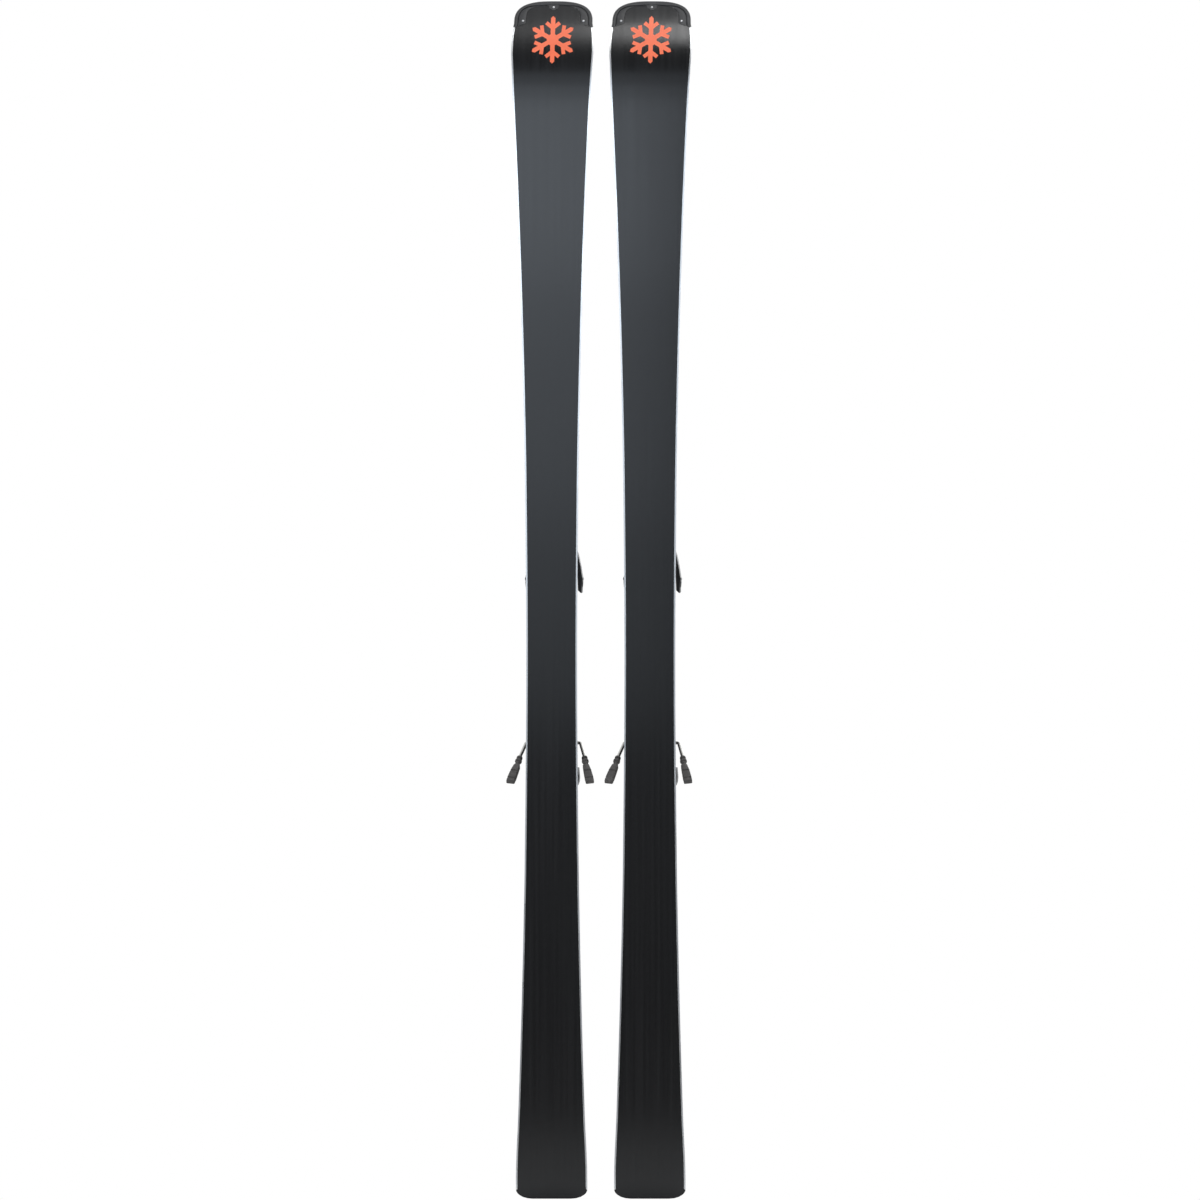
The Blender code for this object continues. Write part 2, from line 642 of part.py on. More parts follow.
def make_toe(side, parent):
    make_toe_carriage(side, parent)
    make_toe_housing(side, parent)
    for hand, sign in (("left", -1), ("right", 1)):
        make_toe_wing(side, hand, sign, parent)
    low = TOE_LOW + TOE_BORE_FLOOR + SPRING_END_GAP
    high = TOE_HIGH - SCREW_RECESS - SCREW_HEIGHT - SPRING_END_GAP
    loft(side + "_toe_spring", coil(low, high, TOE_SPRING_Y), parent, "toe_spring")
    make_screw(side + "_toe_screw", TOE_SPRING_Y, TOE_HIGH - SCREW_RECESS, -1, parent, "toe_screw")


# ---------------------------------------------------------------- heel piece

def make_heel_carriage(side, parent):
    rings = along_z(carriage_section(), HEEL_CARRIAGE_LOW, HEEL_CARRIAGE_HIGH)
    carriage = loft(side + "_heel_carriage", rings, parent, "heel_carriage")
    centre = (HEEL_AXLE_Z, HEEL_AXLE_Y)
    foot = CARRIAGE_TOP - OVERLAP
    cheek = arc(centre, CHEEK_TOP - HEEL_AXLE_Y, 0, 180, 6)
    cheek += [(HEEL_AXLE_Z - CHEEK_REAR, foot), (HEEL_AXLE_Z + CHEEK_FRONT, foot)]
    for hand, sign in (("left", -1), ("right", 1)):
        low, high = sorted((sign * CHEEK_INNER, sign * CHEEK_OUTER))
        ear = loft(f"{side}_cheek_{hand}", along_x(cheek, low, high), parent)
        combine(carriage, ear, "UNION")
    bore = circle(HEEL_AXLE_RADIUS + BORE_CLEARANCE, centre, BORE_SIDES)
    bore = along_x(bore, -CHEEK_OUTER - OVERCUT, CHEEK_OUTER + OVERCUT)
    combine(carriage, loft(side + "_cheek_bore", bore, parent), "DIFFERENCE")
    pin = along_x(circle(HEEL_AXLE_RADIUS, centre, BORE_SIDES), -CHEEK_OUTER, CHEEK_OUTER)
    loft(side + "_heel_axle", pin, parent, "heel_axle", smooth=True)


def make_heel_housing(side, parent):
    """The rocking body: round about its axle, with a spring bore that opens at the rear."""
    centre = (HEEL_AXLE_Z, HEEL_AXLE_Y)
    profile = arc(centre, HEEL_EYE_RADIUS, 280, 168, 8) + HEEL_PROFILE
    pivot = add_empty(side + "_heel_pivot", (0.0, HEEL_AXLE_Y, HEEL_AXLE_Z), parent)
    local = [(z - HEEL_AXLE_Z, y - HEEL_AXLE_Y) for z, y in profile]
    housing = loft(side + "_heel_housing", along_x(local, -HEEL_HALF, HEEL_HALF), pivot, "heel_housing")
    bore = circle(HEEL_AXLE_RADIUS + BORE_CLEARANCE, sides=BORE_SIDES)
    bore = along_x(bore, -HEEL_HALF - OVERCUT, HEEL_HALF + OVERCUT)
    combine(housing, loft(side + "_axle_bore", bore, pivot), "DIFFERENCE")
    hollow = circle(SPRING_BORE_RADIUS, (0.0, HEEL_SPRING_Y - HEEL_AXLE_Y))
    hollow = along_z(hollow, HEEL_REAR - HEEL_AXLE_Z - 2 * OVERCUT, HEEL_BORE_END - HEEL_AXLE_Z)
    combine(housing, loft(side + "_heel_bore", hollow, pivot), "DIFFERENCE")
    return pivot


def make_heel_cup(side, parent):
    """A jaw round the boot's heel, with a lip over its ledge and a tread that the heel pushes down."""
    centre = CUP_CENTRE_Z - HEEL_AXLE_Z
    bow = []
    for i in range(CUP_STEPS + 1):
        angle = pi * (i / CUP_STEPS - 0.5)
        across = power_of(sin(angle), 2 / CUP_POWER)
        down = abs(cos(angle)) ** (2 / CUP_POWER)
        ring = []
        for reach, y in CUP_SECTION:
            depth = CUP_DEPTH + reach - CUP_OUTER
            ring.append((reach * across, y - HEEL_AXLE_Y, centre - depth * down))
        bow.append(ring)
    arm_end = [(reach - CUP_ARM_LEAN, y - HEEL_AXLE_Y, centre + CUP_ARM) for reach, y in CUP_SECTION]
    rings = [[(-x, y, z) for x, y, z in arm_end]] + bow + [arm_end]
    loft(side + "_heel_cup", rings, parent, "heel_cup")


def make_heel_lever(side, parent):
    """A handle that narrows towards its end, with an arm at each side of the housing."""
    place = (0.0, LEVER_PIVOT_Y - HEEL_AXLE_Y, LEVER_PIVOT_Z - HEEL_AXLE_Z)
    pivot = add_empty(side + "_lever_pivot", place, parent)
    inner = HEEL_HALF + LEVER_GAP
    outer = inner + LEVER_ARM_WIDTH
    arm = arc((0.0, 0.0), LEVER_ARM_RADIUS, 60, -90, 5) + LEVER_ARM_END
    foot = Vector((0.0, *LEVER_FOOT))
    ahead = Vector((0.0, *LEVER_DIRECTION)).normalized()
    square = Vector((0.0, -ahead.z, ahead.y))
    rings = []
    for distance, half, thick in LEVER_SECTIONS:
        centre = foot + ahead * distance
        flat = half - LEVER_BEVEL
        corners = [(half, -0.4), (flat, -1), (-flat, -1), (-half, -0.4)]
        corners += [(-half, 0.4), (-flat, 1), (flat, 1), (half, 0.4)]
        rings.append([(x, *(centre + square * (thick * share)).yz) for x, share in corners])
    lever = loft(side + "_heel_lever", rings, pivot, "heel_lever")
    for hand, sign in (("left", -1), ("right", 1)):
        low, high = sorted((sign * inner, sign * outer))
        piece = loft(f"{side}_lever_arm_{hand}", along_x(arm, low, high), pivot)
        combine(lever, piece, "UNION")


def make_heel(side, parent):
    make_heel_carriage(side, parent)
    pivot = make_heel_housing(side, parent)
    make_heel_cup(side, pivot)
    make_heel_lever(side, pivot)
    level = HEEL_SPRING_Y - HEEL_AXLE_Y
    rear = HEEL_REAR - HEEL_AXLE_Z
    low = rear + SCREW_RECESS + SCREW_HEIGHT + SPRING_END_GAP
    high = HEEL_BORE_END - HEEL_AXLE_Z - SPRING_END_GAP
    loft(side + "_heel_spring", coil(low, high, level), pivot, "heel_spring")
    make_screw(side + "_heel_screw", level, rear + SCREW_RECESS, 1, pivot, "heel_screw")


# ---------------------------------------------------------------- brake

def make_brake_housing(side, parent):
    """A tray with two cheeks that carry the brake wire."""
    floor = CARRIAGE_TOP + GAP
    half = [(CARRIAGE_HALF, floor), (CARRIAGE_HALF, BRAKE_CHEEK_TOP)]
    half += [(BRAKE_CHEEK_INNER, BRAKE_CHEEK_TOP), (BRAKE_CHEEK_INNER, floor + BRAKE_TRAY)]
    section = half + mirrored(half)[::-1]
    rings = along_z(section, BRAKE_HOUSING_LOW, HEEL_CARRIAGE_HIGH)
    housing = loft(side + "_brake_housing", rings, parent, "brake_housing")
    bore = circle(BRAKE_WIRE_RADIUS + BORE_CLEARANCE, (BRAKE_Z, BRAKE_Y), BORE_SIDES)
    bore = along_x(bore, -CARRIAGE_HALF - OVERCUT, CARRIAGE_HALF + OVERCUT)
    combine(housing, loft(side + "_wire_bore", bore, parent), "DIFFERENCE")


def make_brake_pedal(side, parent):
    """A hub between the cheeks with a flat plate for the boot, drilled from both ends for the wires."""
    hub_half = BRAKE_CHEEK_INNER - BORE_CLEARANCE
    hub = along_x(circle(BRAKE_HUB_RADIUS), -hub_half, hub_half)
    pedal = loft(side + "_brake_pedal", hub, parent, "brake_pedal")
    plate = box((-PEDAL_HALF, PEDAL_LOW, 0.0), (PEDAL_HALF, PEDAL_HIGH, PEDAL_LENGTH))
    combine(pedal, loft(side + "_pedal_plate", plate, parent), "UNION")
    bore = circle(BRAKE_WIRE_RADIUS + BORE_CLEARANCE, sides=BORE_SIDES)
    for hand, sign in (("left", -1), ("right", 1)):
        low, high = sorted((sign * (BRAKE_WIRE_INNER_END - OVERLAP), sign * (hub_half + OVERCUT)))
        hole = loft(f"{side}_hub_bore_{hand}", along_x(bore, low, high), parent)
        combine(pedal, hole, "DIFFERENCE")


def make_brake_arm(side, hand, sign, parent):
    """A bent steel wire, in line with the ski while retracted, and the plastic foot on its end."""
    start = Vector((FOOT_START[0], 0.0, FOOT_START[1]))
    ahead = (Vector((FOOT_END[0], 0.0, FOOT_END[1])) - start).normalized()
    bend = arc((BRAKE_BEND_START, -BRAKE_BEND_RADIUS), BRAKE_BEND_RADIUS, 90, 10, 4)
    points = [Vector((x, 0.0, z)) for x, z in [(BRAKE_WIRE_INNER_END, 0.0)] + bend]
    points += [start - ahead * BRAKE_WIRE_RADIUS, start + ahead * FOOT_WIRE_LENGTH]
    route = [(sign * point.x, point.y, point.z) for point in points]
    wire = tube(route, BRAKE_WIRE_RADIUS, SPRING_SIDES)
    loft(f"{side}_brake_arm_{hand}", wire, parent, "brake_arm", smooth=True)
    make_brake_foot(side, hand, sign, start, ahead, parent)


def make_brake_foot(side, hand, sign, start, ahead, parent):
    """A ribbed neck and a paddle, with a hole for the end of the wire."""
    across = Vector((-ahead.z, 0.0, ahead.x))
    octagon = [(1, 0.5), (0.6, 1), (-0.6, 1), (-1, 0.5), (-1, -0.5), (-0.6, -1), (0.6, -1), (1, -0.5)]
    rings = []
    for distance, inner, outer, thick in FOOT_SECTIONS:
        centre = start + ahead * distance
        ring = []
        for x, y in octagon:
            wide = outer if x > 0 else inner
            point = centre + across * (x * wide) + Vector((0.0, y * thick, 0.0))
            ring.append((sign * point.x, point.y, point.z))
        rings.append(ring)
    foot = loft(f"{side}_brake_foot_{hand}", rings, parent, "brake_foot")
    ends = (start - ahead * OVERCUT, start + ahead * (FOOT_WIRE_LENGTH + OVERLAP))
    hole = tube([(sign * point.x, point.y, point.z) for point in ends], BRAKE_WIRE_RADIUS + 2 * GAP, 10)
    combine(foot, loft(f"{side}_foot_bore_{hand}", hole, parent), "DIFFERENCE")


def make_brake(side, parent):
    make_brake_housing(side, parent)
    pivot = add_empty(side + "_brake_pivot", (0.0, BRAKE_Y, BRAKE_Z), parent)
    pivot.rotation_euler = (-radians(BRAKE_ANGLE), 0.0, 0.0)
    make_brake_pedal(side, pivot)
    for hand, sign in (("left", -1), ("right", 1)):
        make_brake_arm(side, hand, sign, pivot)


# ---------------------------------------------------------------- the pair

def make_ski(side, x):
    ski = add_empty(side + "_ski", (x, 0.0, 0.0))
    make_layers(side, ski)
    make_tip_protector(side, ski)
    make_plate(side, ski)
    make_toe(side, ski)
    make_heel(side, ski)
    make_brake(side, ski)


clear_scene()
make_ski("left", -SKI_SPACING / 2)
make_ski("right", SKI_SPACING / 2)
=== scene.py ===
"""The looks of a pair of alpine skis with release bindings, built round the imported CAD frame.

Every position comes from the frame: the ski's outline and side view are read from the CAD cross-sections
and redrawn as smooth curves, and the binding's parts are softened copies of the CAD solids with their
fine details added. Each kind of piece and each material has its own function.
"""

import json
from bisect import bisect_right
from math import ceil, cos, hypot, pi, radians, sin, sqrt

import bmesh
import bpy
from mathutils import Matrix, Vector


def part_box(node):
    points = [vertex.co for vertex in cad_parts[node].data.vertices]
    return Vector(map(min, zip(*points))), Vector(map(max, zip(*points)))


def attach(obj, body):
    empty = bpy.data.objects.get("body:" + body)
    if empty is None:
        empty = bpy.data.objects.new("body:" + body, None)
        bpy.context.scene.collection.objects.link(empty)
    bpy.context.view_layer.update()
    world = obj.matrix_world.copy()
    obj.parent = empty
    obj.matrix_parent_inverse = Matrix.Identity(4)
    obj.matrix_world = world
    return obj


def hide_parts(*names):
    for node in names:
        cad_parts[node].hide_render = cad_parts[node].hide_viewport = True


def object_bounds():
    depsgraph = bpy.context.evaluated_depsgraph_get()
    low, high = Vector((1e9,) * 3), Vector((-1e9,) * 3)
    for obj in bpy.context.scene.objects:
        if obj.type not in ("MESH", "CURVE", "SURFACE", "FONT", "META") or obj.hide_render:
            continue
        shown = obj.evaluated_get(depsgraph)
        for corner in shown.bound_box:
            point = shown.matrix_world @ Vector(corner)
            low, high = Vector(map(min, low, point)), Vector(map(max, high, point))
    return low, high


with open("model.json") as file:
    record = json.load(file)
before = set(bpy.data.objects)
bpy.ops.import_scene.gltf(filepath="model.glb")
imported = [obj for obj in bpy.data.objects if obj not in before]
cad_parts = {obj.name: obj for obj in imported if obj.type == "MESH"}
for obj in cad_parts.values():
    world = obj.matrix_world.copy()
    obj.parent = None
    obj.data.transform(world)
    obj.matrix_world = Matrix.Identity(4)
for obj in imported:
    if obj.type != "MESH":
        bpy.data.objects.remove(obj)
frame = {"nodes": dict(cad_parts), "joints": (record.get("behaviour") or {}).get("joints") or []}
CAD_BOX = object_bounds()

SIDES = ("left", "right")
HANDS = (("left", -1), ("right", 1))
JOINTS = {joint["name"]: joint for joint in frame["joints"]}
SMOOTH_ANGLE = radians(35)

CORAL = (0.96, 0.190, 0.085)
CORAL_DARK = (0.88, 0.155, 0.065)
PRINT_GREY = (0.115, 0.120, 0.128)

# The ski's side view is carried on this far past the tip
CURVE_OVERRUN = 0.004

# Printed bands of the topsheet, as heights at the middle of the ski
BAND_SLANT = 0.9
GREY_BANDS = ((1.300, 1.420), (0.300, 0.395))
CORAL_BANDS = ((1.440, 1.462), (1.476, 1.482), (0.252, 0.274), (0.236, 0.241))

# Tip protector
RIM_WIDTH = 0.0062
TIP_CURVE_INSET = 0.0010
TIP_CURVE_DEPTH = 0.0320
TIP_CURVE_POWER = 2.8
WINDOW_HALF = 0.0400
WINDOW_TOP_DEPTH = 0.0070
LOBE_DEPTH = 0.0315
WINDOW_POWER = 4.0
CAP_THICKNESS = 0.0070
LOBE_REACH = 0.00028
LOBE_PROUD = 0.0005
LOBE_FOOT = 0.0028
TAB_DEPTH = 0.0085
TAB_HALF = 0.0062
TAB_DROP = 0.0046
RIVETS = ((0.0, 0.0087), (-0.0440, 0.0285), (0.0440, 0.0285))  # across, and below the tip

# Snow crystal below the tip
MARK_DEPTH = 0.0560
MARK_ARM = 0.0345
MARK_HALF = 0.0032
HUB_RADIUS = 0.0088
TWIG_ROOT = 0.0170
TWIG_LENGTH = 0.0125
TWIG_HALF = 0.0027
TWIG_ANGLE = radians(52)

# Binding plate and heel jaw
PLATE_SCREW_END = 0.0115
PLATE_SCREW_HEIGHTS = (0.745, 0.790, 0.832)
PLATE_SCREW_ACROSS = 0.0200
CUP_POWER = 2.6
CUP_ARM = 0.0140

# Brake, drawn flat along the ski
WIRE_RADIUS = 0.0025
WIRE_BEND_START = 0.0366
WIRE_BEND_RADIUS = 0.0035
FOOT_START = Vector((0.0470, 0.0, -0.0345))
FOOT_END = Vector((0.0572, 0.0, -0.0935))
# distance along the foot, inner and outer half width, half thickness
FOOT_SECTIONS = [
    (0.0000, 0.0029, 0.0029, 0.0029), (0.0004, 0.0038, 0.0038, 0.0038), (0.0010, 0.0043, 0.0043, 0.0042),
    (0.0036, 0.0043, 0.0043, 0.0042), (0.0042, 0.0038, 0.0038, 0.0038), (0.0046, 0.0028, 0.0028, 0.0029),
    (0.0074, 0.0028, 0.0028, 0.0029), (0.0078, 0.0044, 0.0044, 0.0041), (0.0084, 0.0050, 0.0050, 0.0044),
    (0.0108, 0.0050, 0.0050, 0.0044), (0.0114, 0.0044, 0.0044, 0.0041), (0.0118, 0.0031, 0.0031, 0.0031),
    (0.0134, 0.0030, 0.0030, 0.0031), (0.0138, 0.0036, 0.0036, 0.0035), (0.0156, 0.0036, 0.0036, 0.0035),
    (0.0162, 0.0028, 0.0028, 0.0030), (0.0206, 0.0028, 0.0028, 0.0030), (0.0209, 0.0046, 0.0036, 0.0040),
    (0.0218, 0.0051, 0.0042, 0.0045), (0.0353, 0.0054, 0.0060, 0.0050), (0.0358, 0.0049, 0.0055, 0.0039),
    (0.0376, 0.0049, 0.0055, 0.0039), (0.0381, 0.0054, 0.0061, 0.0050), (0.0480, 0.0055, 0.0067, 0.0048),
    (0.0518, 0.0055, 0.0069, 0.0045), (0.0524, 0.0050, 0.0063, 0.0034), (0.0542, 0.0050, 0.0064, 0.0034),
    (0.0548, 0.0054, 0.0070, 0.0041), (0.0592, 0.0052, 0.0069, 0.0031), (0.0602, 0.0043, 0.0060, 0.0020),
]

# Room, lamps and camera
ROOM_DARK = 0.10
ROOM_LIGHT = 0.95
FLOOR_HALF = 6.0
STRIP_X = -0.52
STRIP_WIDTH = 1.10
STRIP_HEIGHT = 0.30
STRIP_DISTANCE = 1.50
# height of each strip of the front panel and its radiance
STRIPS = ((0.55, 0.06), (0.85, 0.85), (1.15, 1.60), (1.45, 2.75), (1.75, 2.60), (2.05, 1.90), (2.32, 1.00))
# name, place, the point it faces, width, height and power of each lamp
LAMPS = (
    ("overhead", (0.44, -0.83, 3.10), (0.0, 0.0, 1.70), 1.2, 0.36, 10.2),
    ("left_side", (-2.4, 0.1, 1.2), (0.0, 0.0, 0.85), 1.0, 2.2, 9.0),
    ("right_side", (2.4, 0.2, 1.2), (0.0, 0.0, 0.85), 1.0, 2.2, 12.0),
    ("back", (0.5, 2.6, 1.9), (0.0, 0.0, 0.85), 1.8, 1.8, 20.0),
)
CAMERA_AZIMUTH = radians(3.7)
CAMERA_DISTANCE = 4.0
CAMERA_SHIFT = -0.0011
FRAME_MARGIN = 1.0020877


# ---------------------------------------------------------------- curves and cross-sections

class Curve:
    """A smooth curve through known points that never overshoots them (monotone cubic)."""

    def __init__(self, xs, ys):
        self.xs = xs
        self.ys = ys
        steps = [b - a for a, b in zip(xs, xs[1:])]
        slopes = [(b - a) / step for a, b, step in zip(ys, ys[1:], steps)]
        inner = []
        for i in range(len(slopes) - 1):
            before, after = slopes[i], slopes[i + 1]
            if before * after <= 0:
                inner.append(0.0)
                continue
            w_before = 2 * steps[i + 1] + steps[i]
            w_after = steps[i + 1] + 2 * steps[i]
            inner.append((w_before + w_after) / (w_before / before + w_after / after))
        self.slopes = [slopes[0]] + inner + [slopes[-1]]

    def __call__(self, x):
        i = min(max(bisect_right(self.xs, x) - 1, 0), len(self.xs) - 2)
        step = self.xs[i + 1] - self.xs[i]
        t = (x - self.xs[i]) / step
        a, b = self.ys[i], self.ys[i + 1]
        if t < 0:
            return a + self.slopes[i] * (x - self.xs[i])
        if t > 1:
            return b + self.slopes[i + 1] * (x - self.xs[i + 1])
        rise = (2 * t ** 3 - 3 * t ** 2 + 1) * a + (3 * t ** 2 - 2 * t ** 3) * b
        lean = (t ** 3 - 2 * t ** 2 + t) * self.slopes[i] + (t ** 3 - t ** 2) * self.slopes[i + 1]
        return rise + lean * step


def sections(node):
    """The four-cornered cross-sections of a CAD layer, from its tail up: [(z, [(x, y), ...]), ...]."""
    by_height = {}
    for vertex in frame["nodes"][node].data.vertices:
        corners = by_height.setdefault(round(vertex.co.z, 5), [])
        if all(hypot(vertex.co.x - x, vertex.co.y - y) > 1e-5 for x, y in corners):
            corners.append((vertex.co.x, vertex.co.y))
    found = []
    for z in sorted(by_height):
        corners = by_height[z]
        if len(corners) != 4:
            continue
        low_pair = sorted(sorted(corners, key=lambda c: c[1])[:2])
        high_pair = sorted(sorted(corners, key=lambda c: c[1])[2:])
        found.append((z, [low_pair[0], low_pair[1], high_pair[1], high_pair[0]]))
    return found


def corner_curves(node):
    """Smooth curves of x and y against z for each corner of a CAD layer, and the heights they span."""
    rings = sections(node)
    heights = [z for z, _ in rings]
    curves = []
    for i in range(4):
        across = Curve(heights, [ring[i][0] for _, ring in rings])
        deep = Curve(heights, [ring[i][1] for _, ring in rings])
        curves.append((across, deep))
    return heights, curves


def fine_heights(heights):
    """The CAD's heights with more between them, closer together in the tip and the tail."""
    fine = []
    for low, high in zip(heights, heights[1:]):
        near_end = high < 0.03 or low > 1.55
        steps = max(1, ceil((high - low) / (0.0035 if near_end else 0.020)))
        fine += [low + (high - low) * i / steps for i in range(steps)]
    return fine + [heights[-1]]


# ---------------------------------------------------------------- mesh tools

def add_loft(bm, rings):
    """Adds a closed solid through rings of points, with capped ends."""
    loops = [[bm.verts.new(point) for point in ring] for ring in rings]
    faces = []
    for low, high in zip(loops, loops[1:]):
        for i in range(len(low)):
            j = (i + 1) % len(low)
            faces.append(bm.faces.new((low[i], low[j], high[j], high[i])))
    faces.append(bm.faces.new(loops[0][::-1]))
    faces.append(bm.faces.new(loops[-1]))
    bmesh.ops.recalc_face_normals(bm, faces=faces)
    return faces


def piece(name, bm, body, material, replaces=(), bevel=None, segments=2):
    """Makes the mesh a piece of the visual model, riding on a CAD body."""
    mesh = bpy.data.meshes.new(name)
    bm.to_mesh(mesh)
    bm.free()
    obj = bpy.data.objects.new(name, mesh)
    bpy.context.scene.collection.objects.link(obj)
    mesh.materials.append(material)
    mesh.shade_smooth()
    mesh.set_sharp_from_angle(angle=SMOOTH_ANGLE)
    if bevel:
        step = obj.modifiers.new("soft_edges", "BEVEL")
        step.width = bevel
        step.segments = segments
        step.limit_method = "ANGLE"
        step.angle_limit = radians(28)
        step.harden_normals = True
    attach(obj, body)
    if replaces:
        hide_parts(*replaces)
    return obj


def clean_copy(node):
    """A bmesh of the CAD solid without the doubled corners and flat creases of its triangles."""
    bm = bmesh.new()
    bm.from_mesh(frame["nodes"][node].data)
    bmesh.ops.remove_doubles(bm, verts=bm.verts, dist=2e-6)
    bmesh.ops.dissolve_degenerate(bm, dist=1e-5, edges=bm.edges)
    bmesh.ops.dissolve_limit(bm, angle_limit=radians(0.6), verts=bm.verts, edges=bm.edges)
    bmesh.ops.triangulate(bm, faces=[face for face in bm.faces if len(face.verts) > 4])
    return bm


def soften(node, body, material, width, segments=2):
    """The CAD solid with rounded edges, standing for its node."""
    return piece(node + "_soft", clean_copy(node), body, material, (node,), width, segments)


def circle(radius, sides):
    turn = 2 * pi / sides
    return [(radius * cos(i * turn), radius * sin(i * turn)) for i in range(sides)]


def add_turned(bm, profile, place, sides=24):
    """Adds a solid turned about the local Z axis; profile lists (radius, height), place is a matrix."""
    rings = []
    for radius, height in profile:
        rings.append([place @ Vector((x, y, height)) for x, y in circle(radius, sides)])
    return add_loft(bm, rings)


def facing(location, direction, turn=0.0):
    """A matrix that puts local Z along a direction at a location."""
    aim = Vector(direction).to_track_quat("Z", "Y").to_matrix().to_4x4()
    return Matrix.Translation(location) @ aim @ Matrix.Rotation(turn, 4, "Z")


def rounded_box(half_width, half_height, radius, steps=4):
    """The outline of a rectangle with round corners."""
    points = []
    for x, y, start in ((1, 1, 0), (-1, 1, 90), (-1, -1, 180), (1, -1, 270)):
        for i in range(steps + 1):
            angle = radians(start + 90 * i / steps)
            across = x * (half_width - radius) + radius * cos(angle)
            points.append((across, y * (half_height - radius) + radius * sin(angle)))
    return points


def cut(obj, bm):
    """Cuts a solid out of a piece and applies the cut."""
    mesh = bpy.data.meshes.new("cutter")
    bm.to_mesh(mesh)
    bm.free()
    tool = bpy.data.objects.new("cutter", mesh)
    bpy.context.scene.collection.objects.link(tool)
    step = obj.modifiers.new("cut", "BOOLEAN")
    step.operation = "DIFFERENCE"
    step.solver = "EXACT"
    step.object = tool
    others = [m for m in obj.modifiers if m != step]
    shown = [m.show_viewport for m in others]
    for m in others:
        m.show_viewport = False
    bpy.context.view_layer.update()
    evaluated = obj.evaluated_get(bpy.context.evaluated_depsgraph_get())
    result = bpy.data.meshes.new_from_object(evaluated)
    obj.modifiers.remove(step)
    for m, state in zip(others, shown):
        m.show_viewport = state
    obj.data = result
    bpy.data.objects.remove(tool)
    result.shade_smooth()
    result.set_sharp_from_angle(angle=SMOOTH_ANGLE)


# ---------------------------------------------------------------- materials

def node_of(tree, kind, **values):
    node = tree.nodes.new(kind)
    for name, value in values.items():
        setattr(node, name, value)
    return node


class Finish:
    """A Principled material whose colour, roughness and relief are driven by noise in object space."""

    def __init__(self, name, roughness, metallic=0.0, specular=0.5, coat=0.0, coat_roughness=0.1):
        self.material = bpy.data.materials.new(name)
        self.material.use_nodes = True
        self.tree = self.material.node_tree
        self.shader = self.tree.nodes["Principled BSDF"]
        self.shader.inputs["Metallic"].default_value = metallic
        self.shader.inputs["Roughness"].default_value = roughness
        self.shader.inputs["Specular IOR Level"].default_value = specular
        self.shader.inputs["Coat Weight"].default_value = coat
        self.shader.inputs["Coat Roughness"].default_value = coat_roughness
        self.place = node_of(self.tree, "ShaderNodeTexCoord").outputs["Object"]
        self.relief = None

    def link(self, start, end):
        self.tree.links.new(start, end)

    def noise(self, scale, stretch=(1, 1, 1), detail=3.0, rough=0.55):
        """Noise with this many features a metre, squeezed along each axis by stretch."""
        mapping = node_of(self.tree, "ShaderNodeMapping")
        mapping.inputs["Scale"].default_value = stretch
        self.link(self.place, mapping.inputs["Vector"])
        texture = node_of(self.tree, "ShaderNodeTexNoise")
        texture.inputs["Scale"].default_value = scale
        texture.inputs["Detail"].default_value = detail
        texture.inputs["Roughness"].default_value = rough
        self.link(mapping.outputs["Vector"], texture.inputs["Vector"])
        return texture.outputs["Fac"]

    def ramp(self, value, low, high, low_colour, high_colour):
        ramp = node_of(self.tree, "ShaderNodeValToRGB")
        ramp.color_ramp.elements[0].position = low
        ramp.color_ramp.elements[1].position = high
        ramp.color_ramp.elements[0].color = (*low_colour, 1.0)
        ramp.color_ramp.elements[1].color = (*high_colour, 1.0)
        self.link(value, ramp.inputs["Fac"])
        return ramp.outputs["Color"]

    def mix(self, factor, a, b):
        mix = node_of(self.tree, "ShaderNodeMix", data_type="RGBA")
        self.link(factor, mix.inputs["Factor"])
        for socket, value in ((mix.inputs[6], a), (mix.inputs[7], b)):
            if isinstance(value, tuple):
                socket.default_value = (*value, 1.0)
            else:
                self.link(value, socket)
        return mix.outputs[2]

    def math(self, operation, a, b=None):
        node = node_of(self.tree, "ShaderNodeMath", operation=operation)
        for socket, value in zip(node.inputs, (a, b)):
            if value is None:
                continue
            if isinstance(value, (int, float)):
                socket.default_value = value
            else:
                self.link(value, socket)
        return node.outputs[0]

    def range(self, value, low, high, start=0.3, end=0.7):
        node = node_of(self.tree, "ShaderNodeMapRange")
        node.inputs["From Min"].default_value = start
        node.inputs["From Max"].default_value = end
        node.inputs["To Min"].default_value = low
        node.inputs["To Max"].default_value = high
        self.link(value, node.inputs["Value"])
        return node.outputs["Result"]

    def colour(self, value):
        self.link(value, self.shader.inputs["Base Color"])

    def roughness(self, value):
        self.link(value, self.shader.inputs["Roughness"])

    def bump(self, height, distance, strength=1.0):
        """Adds relief this deep, in metres, on top of any before it."""
        bump = node_of(self.tree, "ShaderNodeBump")
        bump.inputs["Strength"].default_value = strength
        bump.inputs["Distance"].default_value = distance
        self.link(height, bump.inputs["Height"])
        if self.relief:
            self.link(self.relief, bump.inputs["Normal"])
        self.relief = bump.outputs["Normal"]
        self.link(self.relief, self.shader.inputs["Normal"])

    def axis(self, name):
        split = node_of(self.tree, "ShaderNodeSeparateXYZ")
        self.link(self.place, split.inputs["Vector"])
        return split.outputs[name]


